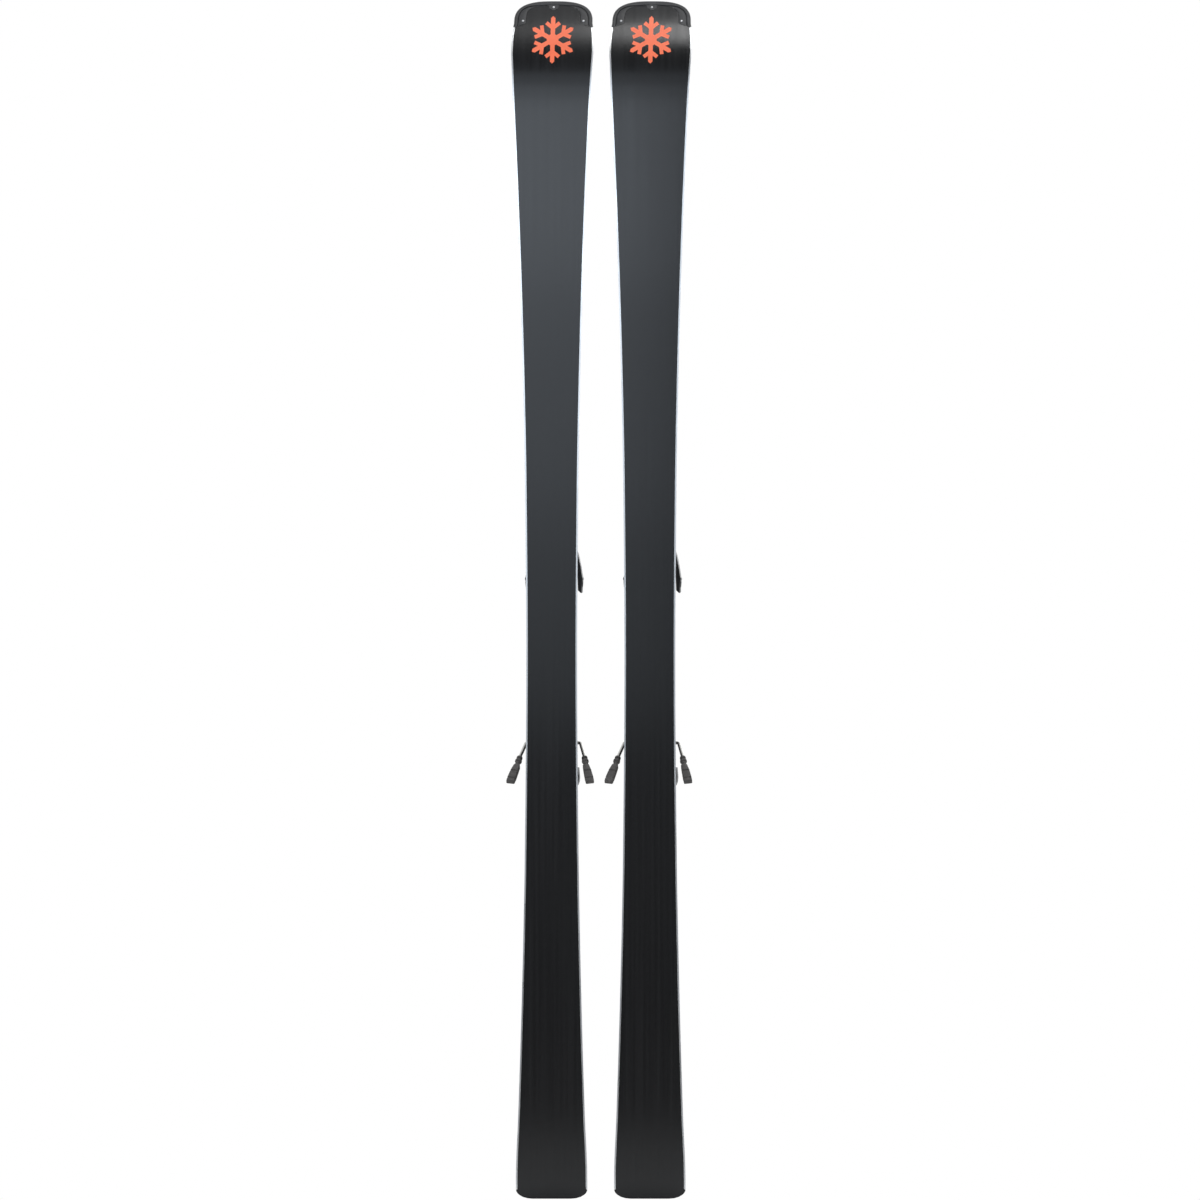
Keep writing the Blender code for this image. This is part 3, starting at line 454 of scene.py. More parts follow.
def base_material():
    """Sintered polyethylene with a stone-ground structure of fine lines along the ski."""
    made = Finish("ski_base", 0.20, specular=0.42)
    lines = made.noise(1.0, (1300, 40, 9), 4.0, 0.6)
    streaks = made.noise(1.0, (220, 10, 2.2), 3.0, 0.5)
    cloud = made.noise(5.0, (1, 1, 0.6), 2.0)
    fine = made.ramp(lines, 0.30, 0.72, (0.0062, 0.0062, 0.0066), (0.0112, 0.0113, 0.0122))
    broad = made.ramp(streaks, 0.32, 0.70, (0.0066, 0.0066, 0.0070), (0.0106, 0.0107, 0.0115))
    made.colour(made.mix(cloud, fine, broad))
    made.roughness(made.range(streaks, 0.17, 0.23))
    made.bump(lines, 0.00003, 0.6)
    made.bump(streaks, 0.00004, 0.4)
    return made.material


def steel_edge_material():
    """Bright steel with fine file marks along it and a few duller stretches."""
    made = Finish("edge_steel", 0.30, metallic=1.0)
    marks = made.noise(1.0, (2600, 2600, 30), 3.0)
    dull = made.noise(9.0)
    made.colour(made.ramp(marks, 0.25, 0.75, (0.50, 0.51, 0.52), (0.80, 0.81, 0.82)))
    made.roughness(made.range(dull, 0.22, 0.40))
    made.bump(marks, 0.00002, 0.7)
    return made.material


def moulded_plastic(name, dark, light, roughness, grain=1500.0, depth=0.00005, coat=0.0):
    """Moulded plastic with a spark-eroded grain and faint flow marks."""
    made = Finish(name, roughness, coat=coat, coat_roughness=0.25)
    pebble = made.noise(grain, (1, 1, 1), 2.0, 0.5)
    flow = made.noise(28.0, (1, 1, 0.35), 3.0)
    made.colour(made.ramp(flow, 0.30, 0.72, dark, light))
    made.roughness(made.range(flow, roughness - 0.06, roughness + 0.06))
    made.bump(pebble, depth, 0.8)
    return made.material


def worn_plastic(name, dark, light, roughness):
    """Grained plastic whose raised spots are rubbed paler, as on parts that touch snow and boots."""
    made = Finish(name, roughness)
    pebble = made.noise(900.0, (1, 1, 1), 3.0, 0.6)
    rub = made.noise(75.0, (1, 1, 1), 4.0, 0.65)
    body = made.ramp(pebble, 0.30, 0.75, dark, light)
    pale = tuple(min(value * 2.2 + 0.01, 1.0) for value in light)
    made.colour(made.mix(made.range(rub, 0.0, 0.55, 0.56, 0.74), body, pale))
    made.roughness(made.range(rub, roughness - 0.05, roughness + 0.10))
    made.bump(pebble, 0.00012, 0.8)
    made.bump(rub, 0.0002, 0.3)
    return made.material


def metal(name, dark, light, roughness, stretch, scale=1.0, depth=0.00002):
    """Brushed or drawn metal; stretch sets which way its marks run."""
    made = Finish(name, roughness, metallic=1.0)
    marks = made.noise(scale, stretch, 3.0)
    stain = made.noise(60.0)
    made.colour(made.ramp(marks, 0.28, 0.74, dark, light))
    made.roughness(made.range(stain, roughness - 0.06, roughness + 0.10))
    made.bump(marks, depth, 0.7)
    return made.material


def wood_material():
    """Strips of pale wood with grain along the ski."""
    made = Finish("laminated_wood", 0.62)
    grain = made.noise(1.0, (700, 700, 14), 5.0, 0.6)
    wave = node_of(made.tree, "ShaderNodeTexWave", bands_direction="X")
    wave.inputs["Scale"].default_value = 22.0
    wave.inputs["Distortion"].default_value = 0.6
    made.link(made.place, wave.inputs["Vector"])
    pale = made.ramp(grain, 0.30, 0.75, (0.50, 0.34, 0.19), (0.70, 0.53, 0.34))
    dark = made.ramp(grain, 0.30, 0.75, (0.34, 0.21, 0.11), (0.55, 0.38, 0.22))
    made.colour(made.mix(wave.outputs["Fac"], pale, dark))
    made.bump(grain, 0.0001, 0.6)
    return made.material


def coral_print():
    """Printed coral ink under a satin surface."""
    made = Finish("coral_print", 0.38, specular=0.45)
    speck = made.noise(420.0)
    cloud = made.noise(30.0, (1, 1, 1), 2.0)
    made.colour(made.ramp(cloud, 0.30, 0.70, CORAL_DARK, CORAL))
    made.roughness(made.range(speck, 0.33, 0.43))
    made.bump(speck, 0.00003, 0.5)
    return made.material


def topsheet_material():
    """A dark satin sheet with a woven-fibre shimmer and coral and grey bands that slant across it."""
    made = Finish("topsheet", 0.34, coat=0.35, coat_roughness=0.22)
    z = made.axis("Z")
    x = made.axis("X")
    fibre = made.noise(1.0, (900, 900, 26), 3.0)
    weave = made.noise(1.0, (60, 60, 900), 2.0)
    ground = made.ramp(fibre, 0.28, 0.74, (0.016, 0.017, 0.020), (0.034, 0.036, 0.041))
    half_gap = ski_middle("right").x
    across = made.math("ABSOLUTE", made.math("SUBTRACT", made.math("ABSOLUTE", x), half_gap))
    slant = made.math("ADD", z, made.math("MULTIPLY", across, BAND_SLANT))
    print_colour = ground
    for colour, bands in ((PRINT_GREY, GREY_BANDS), (CORAL, CORAL_BANDS)):
        for low, high in bands:
            print_colour = made.mix(band(made, slant, low, high), print_colour, colour)
    made.colour(print_colour)
    made.roughness(made.range(weave, 0.30, 0.40))
    made.bump(fibre, 0.00003, 0.5)
    return made.material


def band(made, value, low, high):
    """1 between two values and 0 elsewhere, with a crisp edge."""
    above = made.math("GREATER_THAN", value, low)
    below = made.math("LESS_THAN", value, high)
    return made.math("MULTIPLY", above, below)


def sidewall_material():
    """Black plastic with the fine marks of the mill along it."""
    made = Finish("sidewall_plastic", 0.42)
    marks = made.noise(1.0, (1800, 1800, 20), 3.0)
    made.colour(made.ramp(marks, 0.25, 0.75, (0.010, 0.010, 0.011), (0.030, 0.030, 0.033)))
    made.roughness(made.range(marks, 0.34, 0.48))
    made.bump(marks, 0.00003, 0.7)
    return made.material


# ---------------------------------------------------------------- the ski

class Ski:
    """One ski's curves, read from its CAD layers."""

    def __init__(self, side):
        self.side = side
        self.body = side + "_ski"
        low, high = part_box(side + "_tip_protector")
        self.middle = (low.x + high.x) / 2
        self.tip = high.z
        self.lobe_corner = low.z
        self.corner_half = (high.x - low.x) / 2
        heights, curves = corner_curves(side + "_base")
        self.base_top = heights[-1]
        self.base_y = extended(heights, [curves[0][1](z) for z in heights], self.tip + CURVE_OVERRUN)
        self.base_half = Curve(heights, [curves[1][0](z) - self.middle for z in heights])
        heights, curves = corner_curves(side + "_topsheet")
        self.top_y = extended(heights, [curves[2][1](z) for z in heights], self.tip + CURVE_OVERRUN)

    def slope(self, z):
        step = 0.0015
        return (self.base_y(z + step) - self.base_y(z - step)) / (2 * step)

    def at(self, x, depth, z):
        """A point at a distance x from the ski's middle and a depth square to its base."""
        return Vector((self.middle + x, self.base_y(z) + depth * sqrt(1 + self.slope(z) ** 2), z))

    def outward(self, z):
        """The direction that the base faces at a height."""
        return Vector((0.0, -1.0, self.slope(z))).normalized()


def extended(xs, ys, end):
    """A curve carried on past its last point with the same bend."""
    (x0, y0), (x1, y1), (x2, y2) = [(xs[i], ys[i]) for i in (-7, -4, -1)]
    fit0 = (end - x1) * (end - x2) / ((x0 - x1) * (x0 - x2))
    fit1 = (end - x0) * (end - x2) / ((x1 - x0) * (x1 - x2))
    fit2 = (end - x0) * (end - x1) / ((x2 - x0) * (x2 - x1))
    return Curve(xs + [end], ys + [y0 * fit0 + y1 * fit1 + y2 * fit2])


def ski_middle(side):
    low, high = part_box(side + "_base")
    return (low + high) / 2


def smooth_layer(ski, part, material, bevel=None):
    """A CAD layer redrawn through many more cross-sections, standing for its node."""
    node = f"{ski.side}_{part}"
    heights, curves = corner_curves(node)
    rings = [[(x(z), y(z), z) for x, y in curves] for z in fine_heights(heights)]
    bm = bmesh.new()
    add_loft(bm, rings)
    return piece(node + "_smooth", bm, ski.body, material, (node,), bevel, 2)


def super_arc(width, depth, power, foot, steps):
    """Half a superellipse over the tip, from its left end to its right end."""
    points = []
    for i in range(steps + 1):
        angle = pi * (1 - i / steps)
        across = abs(cos(angle)) ** (2 / power)
        x = across if cos(angle) > 0 else -across
        points.append((width * x, foot + depth * sin(angle) ** (2 / power)))
    return points


def tip_protector(ski, material):
    """The moulded cap: a raised round rim, a groove inside it and a flat riveted lobe at each side."""
    steps = 84
    width = ski.corner_half - TIP_CURVE_INSET
    outer = super_arc(width, TIP_CURVE_DEPTH, TIP_CURVE_POWER, ski.tip - TIP_CURVE_DEPTH, steps)
    shoulder = ski.tip - LOBE_DEPTH
    inner = super_arc(WINDOW_HALF, LOBE_DEPTH - WINDOW_TOP_DEPTH, WINDOW_POWER, shoulder, steps)
    corner = ski.lobe_corner - LOBE_REACH
    outer = [(-ski.corner_half, corner)] + outer + [(ski.corner_half, corner)]
    lobe_end = shoulder - 0.0002 - LOBE_REACH
    inner = [(-WINDOW_HALF, lobe_end)] + inner + [(WINDOW_HALF, lobe_end)]
    # distance in from the outer edge and depth from the base, the flat lobe's inner edge last
    rim = [(0.0007, CAP_THICKNESS), (0.0, CAP_THICKNESS - 0.0008), (0.0, 0.0009), (0.0004, 0.0001)]
    rim += [(0.0013, -0.0005), (0.0030, -0.0007), (0.0046, -0.0005), (0.0055, 0.0002), (0.0059, 0.0011)]
    rim += [(RIM_WIDTH, 0.0010), (0.0066, 0.0001)]
    bm = bmesh.new()
    rings = []
    for i, ((x_out, z_out), (x_in, z_in)) in enumerate(zip(outer, inner)):
        reach = hypot(x_in - x_out, z_in - z_out)
        level = LOBE_FOOT if i in (0, len(outer) - 1) else 0.0
        flat = reach - 0.0066
        proud = LOBE_PROUD * min(flat / 0.0060, 1.0)
        profile = rim + [(0.0066 + 0.25 * flat, -proud), (reach - 0.1 * flat, -proud), (reach, 0.6 * -proud)]
        profile += [(reach, 0.0003), (reach + LOBE_REACH, 0.0006), (reach + LOBE_REACH, CAP_THICKNESS)]
        ring = []
        for distance, depth in profile:
            share = distance / reach
            rise = max(distance - level, 0.0) / (reach - level)
            ring.append(ski.at(x_out + (x_in - x_out) * share, depth, z_out + (z_in - z_out) * rise))
        rings.append(ring)
    add_loft(bm, rings)
    node = ski.side + "_tip_protector"
    piece(node + "_moulded", bm, ski.body, material, (node,), 0.00025, 1)


def surface_plate(ski, outline, low, high, step=0.003):
    """A thin plate that follows the base, from a flat outline of (x, z) points about the ski's middle."""
    bm = bmesh.new()
    face = bm.faces.new([bm.verts.new((x, 0.0, z)) for x, z in outline])
    face.normal_update()
    bottom = min(z for _, z in outline)
    top = max(z for _, z in outline)
    for i in range(1, ceil((top - bottom) / step)):
        cut_at = Vector((0.0, 0.0, bottom + step * i))
        geometry = bm.verts[:] + bm.edges[:] + bm.faces[:]
        bmesh.ops.bisect_plane(bm, geom=geometry, plane_co=cut_at, plane_no=(0, 0, 1))
    bmesh.ops.triangulate(bm, faces=[f for f in bm.faces if len(f.verts) > 4])
    front = [(v, v.co.x, v.co.z) for v in bm.verts]
    made = bmesh.ops.extrude_face_region(bm, geom=bm.faces[:])
    back = [v for v in made["geom"] if isinstance(v, bmesh.types.BMVert)]
    for vertex, x, z in front:
        vertex.co = ski.at(x, low, z)
    for vertex in back:
        vertex.co = ski.at(vertex.co.x, high, vertex.co.z)
    bmesh.ops.recalc_face_normals(bm, faces=bm.faces)
    return bm


def tip_tab_and_rivets(ski, plastic, steel):
    """The tab at the middle of the rim, and the three rivets that hold the cap."""
    centre_z = ski.tip - TAB_DEPTH
    wide = TAB_HALF + 0.0018
    outline = [(wide, centre_z + 0.0030), (-wide, centre_z + 0.0030), (-TAB_HALF, centre_z - TAB_DROP * 0.5)]
    for degrees in range(180, 361, 30):
        angle = radians(degrees)
        z = centre_z - TAB_DROP * 0.55 + 0.0022 * sin(angle)
        outline.append((TAB_HALF * 0.62 * cos(angle), z))
    outline.append((TAB_HALF, centre_z - TAB_DROP * 0.5))
    bm = surface_plate(ski, outline, 0.0006, -0.0004)
    piece(ski.side + "_tip_tab", bm, ski.body, plastic, (), 0.0002, 1)
    bm = bmesh.new()
    head = [(0.0009, 0.0), (0.0016, 0.0), (0.0017, 0.0002)]
    head += [(0.0015, 0.0006), (0.0010, 0.0009), (0.0003, 0.0010)]
    for x, depth in RIVETS:
        z = ski.tip - depth
        add_turned(bm, head, facing(ski.at(x, -0.0004, z), ski.outward(z)), 20)
    piece(ski.side + "_tip_rivets", bm, ski.body, steel)


def bar(start, end, half):
    """The corners of a straight bar between two points, with its width given as half."""
    along = (end - start).normalized()
    side = Vector((-along.y, along.x)) * half
    return [tuple(point) for point in (start - side, end - side, end + side, start + side)]


def snow_mark(ski, ink):
    """A coral snow crystal inlaid below the tip: six arms with a pair of twigs each, and a hub."""
    centre_z = ski.tip - MARK_DEPTH
    shapes = [circle(HUB_RADIUS, 6)]
    for i in range(6):
        angle = radians(90 + 60 * i)
        aim = Vector((cos(angle), sin(angle)))
        side = Vector((-aim.y, aim.x)) * MARK_HALF
        root = aim * 0.0060
        shoulder = aim * (MARK_ARM - 0.0030)
        arm = [root - side, shoulder - side, aim * MARK_ARM, shoulder + side, root + side]
        shapes.append([tuple(point) for point in arm])
        for hand in (-1, 1):
            twig_angle = angle + hand * TWIG_ANGLE
            twig = Vector((cos(twig_angle), sin(twig_angle))) * TWIG_LENGTH
            shapes.append(bar(aim * TWIG_ROOT, aim * TWIG_ROOT + twig, TWIG_HALF))
    for i, shape in enumerate(shapes):
        outline = [(x, centre_z + z) for x, z in shape]
        bm = surface_plate(ski, outline, 0.0002, -0.00006 - 0.000006 * i)
        if i == 0:
            whole = bm
            continue
        mesh = bpy.data.meshes.new("twig")
        bm.to_mesh(mesh)
        bm.free()
        whole.from_mesh(mesh)
        bpy.data.meshes.remove(mesh)
    piece(ski.side + "_snow_mark", whole, ski.body, ink)


# ---------------------------------------------------------------- brake

def brake_frame(side):
    """A matrix from the brake drawn flat along the ski to the brake at rest."""
    joint = JOINTS[side + "_brake_retract"]
    turn = Matrix.Rotation(-radians(joint["range_deg"][1]), 4, "X")
    return Matrix.Translation(joint["pos_m"]) @ turn


def brake_foot(side, hand, sign, material):
    """A moulded foot: a ribbed neck round the wire and a paddle in three blocks that bulges outwards."""
    place = brake_frame(side)
    ahead = (FOOT_END - FOOT_START).normalized()
    across = Vector((-ahead.z, 0.0, ahead.x))
    rings = []
    for distance, inner, outer, thick in FOOT_SECTIONS:
        wide = (inner + outer) / 2
        shift = (outer - inner) / 2
        radius = min(wide, thick) * (0.85 if distance < 0.0207 else 0.40)
        ring = []
        for x, y in rounded_box(wide, thick, radius, 3):
            point = FOOT_START + ahead * distance + across * (x + shift) + Vector((0.0, y, 0.0))
            ring.append(place @ Vector((sign * point.x, point.y, point.z)))
        rings.append(ring)
    bm = bmesh.new()
    add_loft(bm, rings)
    node = f"{side}_brake_foot_{hand}"
    piece(node + "_moulded", bm, side + "_brake", material, (node,), 0.0002, 1)


def brake_arm(side, hand, sign, material):
    """The bent spring-steel wire with a round bend, from the hub into the foot."""
    place = brake_frame(side)
    ahead = (FOOT_END - FOOT_START).normalized()
    points = [Vector((0.0140, 0.0, 0.0)), Vector((WIRE_BEND_START - 0.0004, 0.0, 0.0))]
    for i in range(9):
        angle = radians(90 - 82 * i / 8)
        x = WIRE_BEND_START + WIRE_BEND_RADIUS * cos(angle)
        points.append(Vector((x, 0.0, WIRE_BEND_RADIUS * (sin(angle) - 1))))
    points += [FOOT_START - ahead * 0.0030, FOOT_START - ahead * 0.0015, FOOT_START + ahead * 0.0150]
    rings = []
    for i, point in enumerate(points):
        run = (points[min(i + 1, len(points) - 1)] - points[max(i - 1, 0)]).normalized()
        side_way = Vector((-run.z, 0.0, run.x))
        ring = []
        for x, y in circle(WIRE_RADIUS, 20):
            spot = point + side_way * x + Vector((0.0, y, 0.0))
            ring.append(place @ Vector((sign * spot.x, spot.y, spot.z)))
        rings.append(ring)
    bm = bmesh.new()
    add_loft(bm, rings)
    node = f"{side}_brake_arm_{hand}"
    piece(node + "_wire", bm, side + "_brake", material, (node,), 0.0004, 2)


def pedal_ribs(side, material):
    """Rubbed ribs across the face of the pedal that the boot presses."""
    place = brake_frame(side)
    bm = bmesh.new()
    for i in range(6):
        z = 0.0120 + 0.0078 * i
        rings = []
        for x, shrink in ((-0.0205, 0.55), (-0.0195, 1.0), (0.0195, 1.0), (0.0205, 0.55)):
            ring = [(x, 0.0047, z - 0.0019 * shrink), (x, 0.0058 * 0.98, z - 0.0009 * shrink)]
            ring += [(x, 0.0058 * 0.98, z + 0.0009 * shrink), (x, 0.0047, z + 0.0019 * shrink)]
            rings.append([place @ Vector(point) for point in ring])
        add_loft(bm, rings)
    piece(side + "_pedal_ribs", bm, side + "_brake", material)


# ---------------------------------------------------------------- binding details

def add_screw_head(bm, centre, direction, radius=0.0042):
    """A pan-head screw with a cross recess, seen along a direction."""
    place = facing(centre, direction, radians(20))
    arms = 4
    rings = []
    profile = [(1.0, -0.0006), (1.0, 0.0006), (0.86, 0.0013), (0.62, 0.0016)]
    for share, height in profile:
        rings.append([place @ Vector((x * share, y * share, height)) for x, y in circle(radius, 24)])
    recess = []
    for i in range(24):
        angle = 2 * pi * i / 24
        in_arm = i % (24 // arms) in (0, 1, 5)
        recess.append((angle, 0.46 if in_arm else 0.20))
    for height in (0.0016, 0.0002):
        rings.append([place @ Vector((radius * r * cos(a), radius * r * sin(a), height)) for a, r in recess])
    add_loft(bm, rings)


def plate_details(side, plastic, steel):
    """The binding plate and the screws that the sliding carriages leave free."""
    node = side + "_binding_plate"
    low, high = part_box(node)
    body = side + "_ski"
    soften(node, body, plastic, 0.0006)
    middle = (low.x + high.x) / 2
    bm = bmesh.new()
    for z in (low.z + PLATE_SCREW_END, *PLATE_SCREW_HEIGHTS):
        for sign in (-1, 1):
            add_screw_head(bm, (middle + sign * PLATE_SCREW_ACROSS, high.y - 0.0002, z), (0, 1, 0))
    piece(side + "_plate_screws", bm, body, steel)


def length_band(side, steel):
    """The steel band with its row of locking windows."""
    node = side + "_length_band"
    low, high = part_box(node)
    bm = bmesh.new()
    middle = (low.x + high.x) / 2
    half = (high.x - low.x) / 2
    slot_half, pitch = 0.0038, 0.0090
    window = pitch * 0.45
    count = int((high.z - low.z - 0.012) / pitch)
    start = (low.z + high.z - count * pitch) / 2
    levels = [low.z]
    for i in range(count):
        levels += [start + pitch * i + (pitch - window) / 2, start + pitch * i + (pitch + window) / 2]
    levels.append(high.z)
    xs = [middle - half, middle - slot_half, middle + slot_half, middle + half]
    grid = [[bm.verts.new((x, high.y, z)) for x in xs] for z in levels]
    for row in range(len(levels) - 1):
        for column in range(3):
            if column == 1 and row % 2 == 1:
                continue
            below, above = grid[row], grid[row + 1]
            bm.faces.new((below[column], below[column + 1], above[column + 1], above[column]))
    made = bmesh.ops.extrude_face_region(bm, geom=bm.faces[:])
    for vertex in made["geom"]:
        if isinstance(vertex, bmesh.types.BMVert):
            vertex.co.y = low.y
    bmesh.ops.recalc_face_normals(bm, faces=bm.faces)
    piece(node + "_pierced", bm, side + "_ski", steel, (node,), 0.00015, 1)


def afd_plate(side, plastic):
    """The anti-friction slider with ribs along its travel."""
    node = side + "_afd_slider"
    low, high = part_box(node)
    obj = soften(node, side + "_afd", plastic, 0.0008)
    bm = bmesh.new()
    for i in range(5):
        z = low.z + 0.008 + 0.006 * i
        ring = [(z - 0.0011, high.y + 0.001), (z + 0.0011, high.y + 0.001), (z + 0.0007, high.y - 0.0009)]
        ring.append((z - 0.0007, high.y - 0.0009))
        add_loft(bm, [[(x, y, zz) for zz, y in ring] for x in (low.x + 0.004, high.x - 0.004)])
    cut(obj, bm)


def face_plate(name, body, material, outline, origin, slope, thickness, bevel):
    """A thin plate on a sloping face, from an outline of (x, z) points about an origin."""
    points = [Vector(origin) + Vector((x, slope * z, z)) for x, z in outline]
    normal = Vector((0.0, 1.0, -slope)).normalized()
    bm = bmesh.new()
    add_loft(bm, [[point + normal * lift for point in points] for lift in (-0.0006, thickness)])
    piece(name, bm, body, material, (), bevel, 2 if bevel > 0.0003 else 1)


def toe_piece(side, looks):
    """The toe housing with its coral inlay, setting window and pin heads."""
    body = side + "_toe_piece"
    low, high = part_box(side + "_toe_housing")
    middle = (low.x + high.x) / 2
    soften(side + "_toe_carriage", body, looks["black_plastic"], 0.0009)
    soften(side + "_toe_housing", body, looks["housing_plastic"], 0.0016, 3)
    roof = high.y
    slope = -0.002 / 0.035
    outline = [(-0.0120, 0.0140), (-0.0165, 0.0300), (-0.0165, 0.0420)]
    outline += [(-x, z) for x, z in reversed(outline)]
    origin = (middle, roof - slope * 0.010, low.z)
    coral = looks["coral_plastic"]
    face_plate(side + "_toe_inlay", body, coral, outline, origin, slope, 0.0005, 0.0004)
    front_slope = -0.007 / 0.0285
    window = rounded_box(0.0055, 0.0075, 0.0015)
    start = low.z + 0.045
    origin = (middle, roof - 0.002 + front_slope * 0.012, start + 0.012)
    lens = looks["window"]
    face_plate(side + "_toe_window", body, lens, window, origin, front_slope, 0.0004, 0.0002)
    bm = bmesh.new()
    for i in range(5):
        dz = 0.0065 + 0.0028 * i
        width = 0.0034 if i == 2 else 0.0022
        mark = [(-width, dz - 0.0004), (width, dz - 0.0004), (width, dz + 0.0004), (-width, dz + 0.0004)]
        spots = [Vector((middle + x, roof - 0.002 + front_slope * d, start + d)) for x, d in mark]
        add_loft(bm, [[spot + Vector((0, rise, 0)) for spot in spots] for rise in (0.0003, 0.00055)])
    piece(side + "_toe_scale", bm, body, looks["white_print"])
    bm = bmesh.new()
    head = [(0.0042, -0.0010), (0.0042, 0.0004), (0.0036, 0.0009)]
    head += [(0.0018, 0.0009), (0.0016, 0.0003), (0.0004, 0.0003)]
    for hand, _ in HANDS:
        pivot = JOINTS[f"{side}_wing_{hand}_release"]["pos_m"]
        spot = (pivot[0] + (0.0015 if pivot[0] < middle else -0.0015), roof - 0.0022, pivot[2])
        add_turned(bm, head, facing(spot, (0, 1, 0)), 24)
    piece(side + "_wing_pin_heads", bm, body, looks["zinc"])


def wing(side, hand, looks):
    """A wing with grip ribs on its outer side."""
    node = f"{side}_toe_wing_{hand}"
    body = f"{side}_wing_{hand}"
    low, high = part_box(node)
    soften(node, body, looks["black_plastic"], 0.0006, 2)
    outer_x = high.x if hand == "right" else low.x
    sign = 1 if hand == "right" else -1
    bm = bmesh.new()
    for i in range(4):
        y = low.y + 0.0045 + 0.0057 * i
        ring = [(outer_x - sign * 0.0040, low.z + 0.0080), (outer_x - sign * 0.0012, low.z + 0.0090)]
        ring += [(outer_x - sign * 0.0006, low.z + 0.0165), (outer_x - sign * 0.0045, low.z + 0.0330)]
        ring += [(outer_x - sign * 0.0062, low.z + 0.0330)]
        add_loft(bm, [[(x, level, z) for x, z in ring] for level in (y - 0.0008, y + 0.0008)])
    piece(f"{side}_wing_ribs_{hand}", bm, body, looks["black_plastic"], (), 0.0003, 1)


def heel_collar(side, looks):
    """The shoulder that carries the jaw on the front of the housing."""
    cup_low, cup_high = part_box(side + "_heel_cup")
    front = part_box(side + "_heel_housing")[1].z
    middle = (cup_low.x + cup_high.x) / 2
    reach = (cup_high.x - cup_low.x) / 2
    centre = cup_high.z - CUP_ARM
    steps = 20
    curve = []
    for i in range(steps + 1):
        x = 0.0262 * (2 * i / steps - 1)
        drop = (centre - cup_low.z) * (1 - (abs(x) / reach) ** CUP_POWER) ** (1 / CUP_POWER)
        curve.append((middle + x, centre - drop + 0.0012))
    outline = [(curve[0][0], front - 0.0012)] + curve + [(curve[-1][0], front - 0.0012)]
    bm = bmesh.new()
    add_loft(bm, [[(x, y, z) for x, z in outline] for y in (cup_low.y + 0.0035, cup_high.y - 0.0035)])
    piece(side + "_heel_collar", bm, side + "_heel_rocker", looks["black_plastic"], (), 0.0005, 2)


def heel_piece(side, looks):
    """The heel's rocking body, jaw and carriage with their fine details."""
    base_body = side + "_heel_base"
    rocker = side + "_heel_rocker"
    soften(side + "_heel_carriage", base_body, looks["black_plastic"], 0.0009)
    soften(side + "_heel_axle", base_body, looks["zinc"], 0.0004)
    soften(side + "_brake_housing", base_body, looks["black_plastic"], 0.0008)
    soften(side + "_heel_housing", rocker, looks["housing_plastic"], 0.0018, 3)
    soften(side + "_heel_cup", rocker, looks["black_plastic"], 0.0007, 2)
    heel_collar(side, looks)
    low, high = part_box(side + "_heel_housing")
    middle = (low.x + high.x) / 2
    crest_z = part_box(side + "_heel_screw")[0].z + 0.0275
    slope = -0.005 / (high.z - 0.006 - crest_z)
    outline = [(-0.0170, 0.0030), (-0.0125, 0.0190), (0.0125, 0.0190), (0.0170, 0.0030)]
    origin = (middle, high.y, crest_z)
    coral = looks["coral_plastic"]
    face_plate(side + "_heel_inlay", rocker, coral, outline, origin, slope, 0.0005, 0.0004)
    back_slope = 0.005 / 0.020
    window = rounded_box(0.0060, 0.0060, 0.0015)
    origin = (middle, high.y - back_slope * 0.0100, crest_z - 0.0100)
    lens = looks["window"]
    face_plate(side + "_heel_window", rocker, lens,
               window, origin, back_slope, 0.0004, 0.0002)
    bm = bmesh.new()
    for sign in (-1, 1):
        for i in range(4):
            z = high.z - 0.0120 - 0.0050 * i
            x = middle + sign * (high.x - middle)
            rear, front = high.y - 0.0440, high.y - 0.0140
            ring = [(z - 0.0012, rear), (z + 0.0012, rear), (z + 0.0012, front), (z - 0.0012, front)]
            near, far = sorted((x - sign * 0.001, x + sign * 0.0005))
            add_loft(bm, [[(level, y, zz) for zz, y in ring] for level in (near, far)])
    piece(side + "_heel_side_ribs", bm, rocker, looks["housing_plastic"], (), 0.0003, 1)


def lever(side, looks):
    """The coral heel lever with a ribbed thumb rest near its end."""
    node = side + "_heel_lever"
    soften(node, side + "_lever", looks["coral_plastic"], 0.0011, 3)
    low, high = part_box(node)
    middle = (low.x + high.x) / 2
    ahead = Vector((0.0, 0.62, -0.78)).normalized()
    square = Vector((0.0, -ahead.z, ahead.y))
    pivot = JOINTS[side + "_lever_tilt"]["pos_m"]
    foot = Vector((middle, pivot[1] + 0.0060, pivot[2] - 0.0240))
    bm = bmesh.new()
    for i in range(5):
        centre = foot + ahead * (0.0245 + 0.0032 * i)
        half = 0.0175 - 0.0005 * i
        thick = 0.0036 - 0.00022 * i
        rings = []
        for x, shrink in ((-half, 0.5), (-half + 0.0012, 1.0), (half - 0.0012, 1.0), (half, 0.5)):
            ring = []
            for along, up in ((-0.0011, 0.0), (-0.0005, 0.0010), (0.0005, 0.0010), (0.0011, 0.0)):
                spot = centre + ahead * along * shrink + square * (thick - 0.0004 + up)
                ring.append(spot + Vector((x, 0.0, 0.0)))
            rings.append(ring)
        add_loft(bm, rings)
    piece(side + "_lever_ribs", bm, side + "_lever", looks["coral_plastic"])


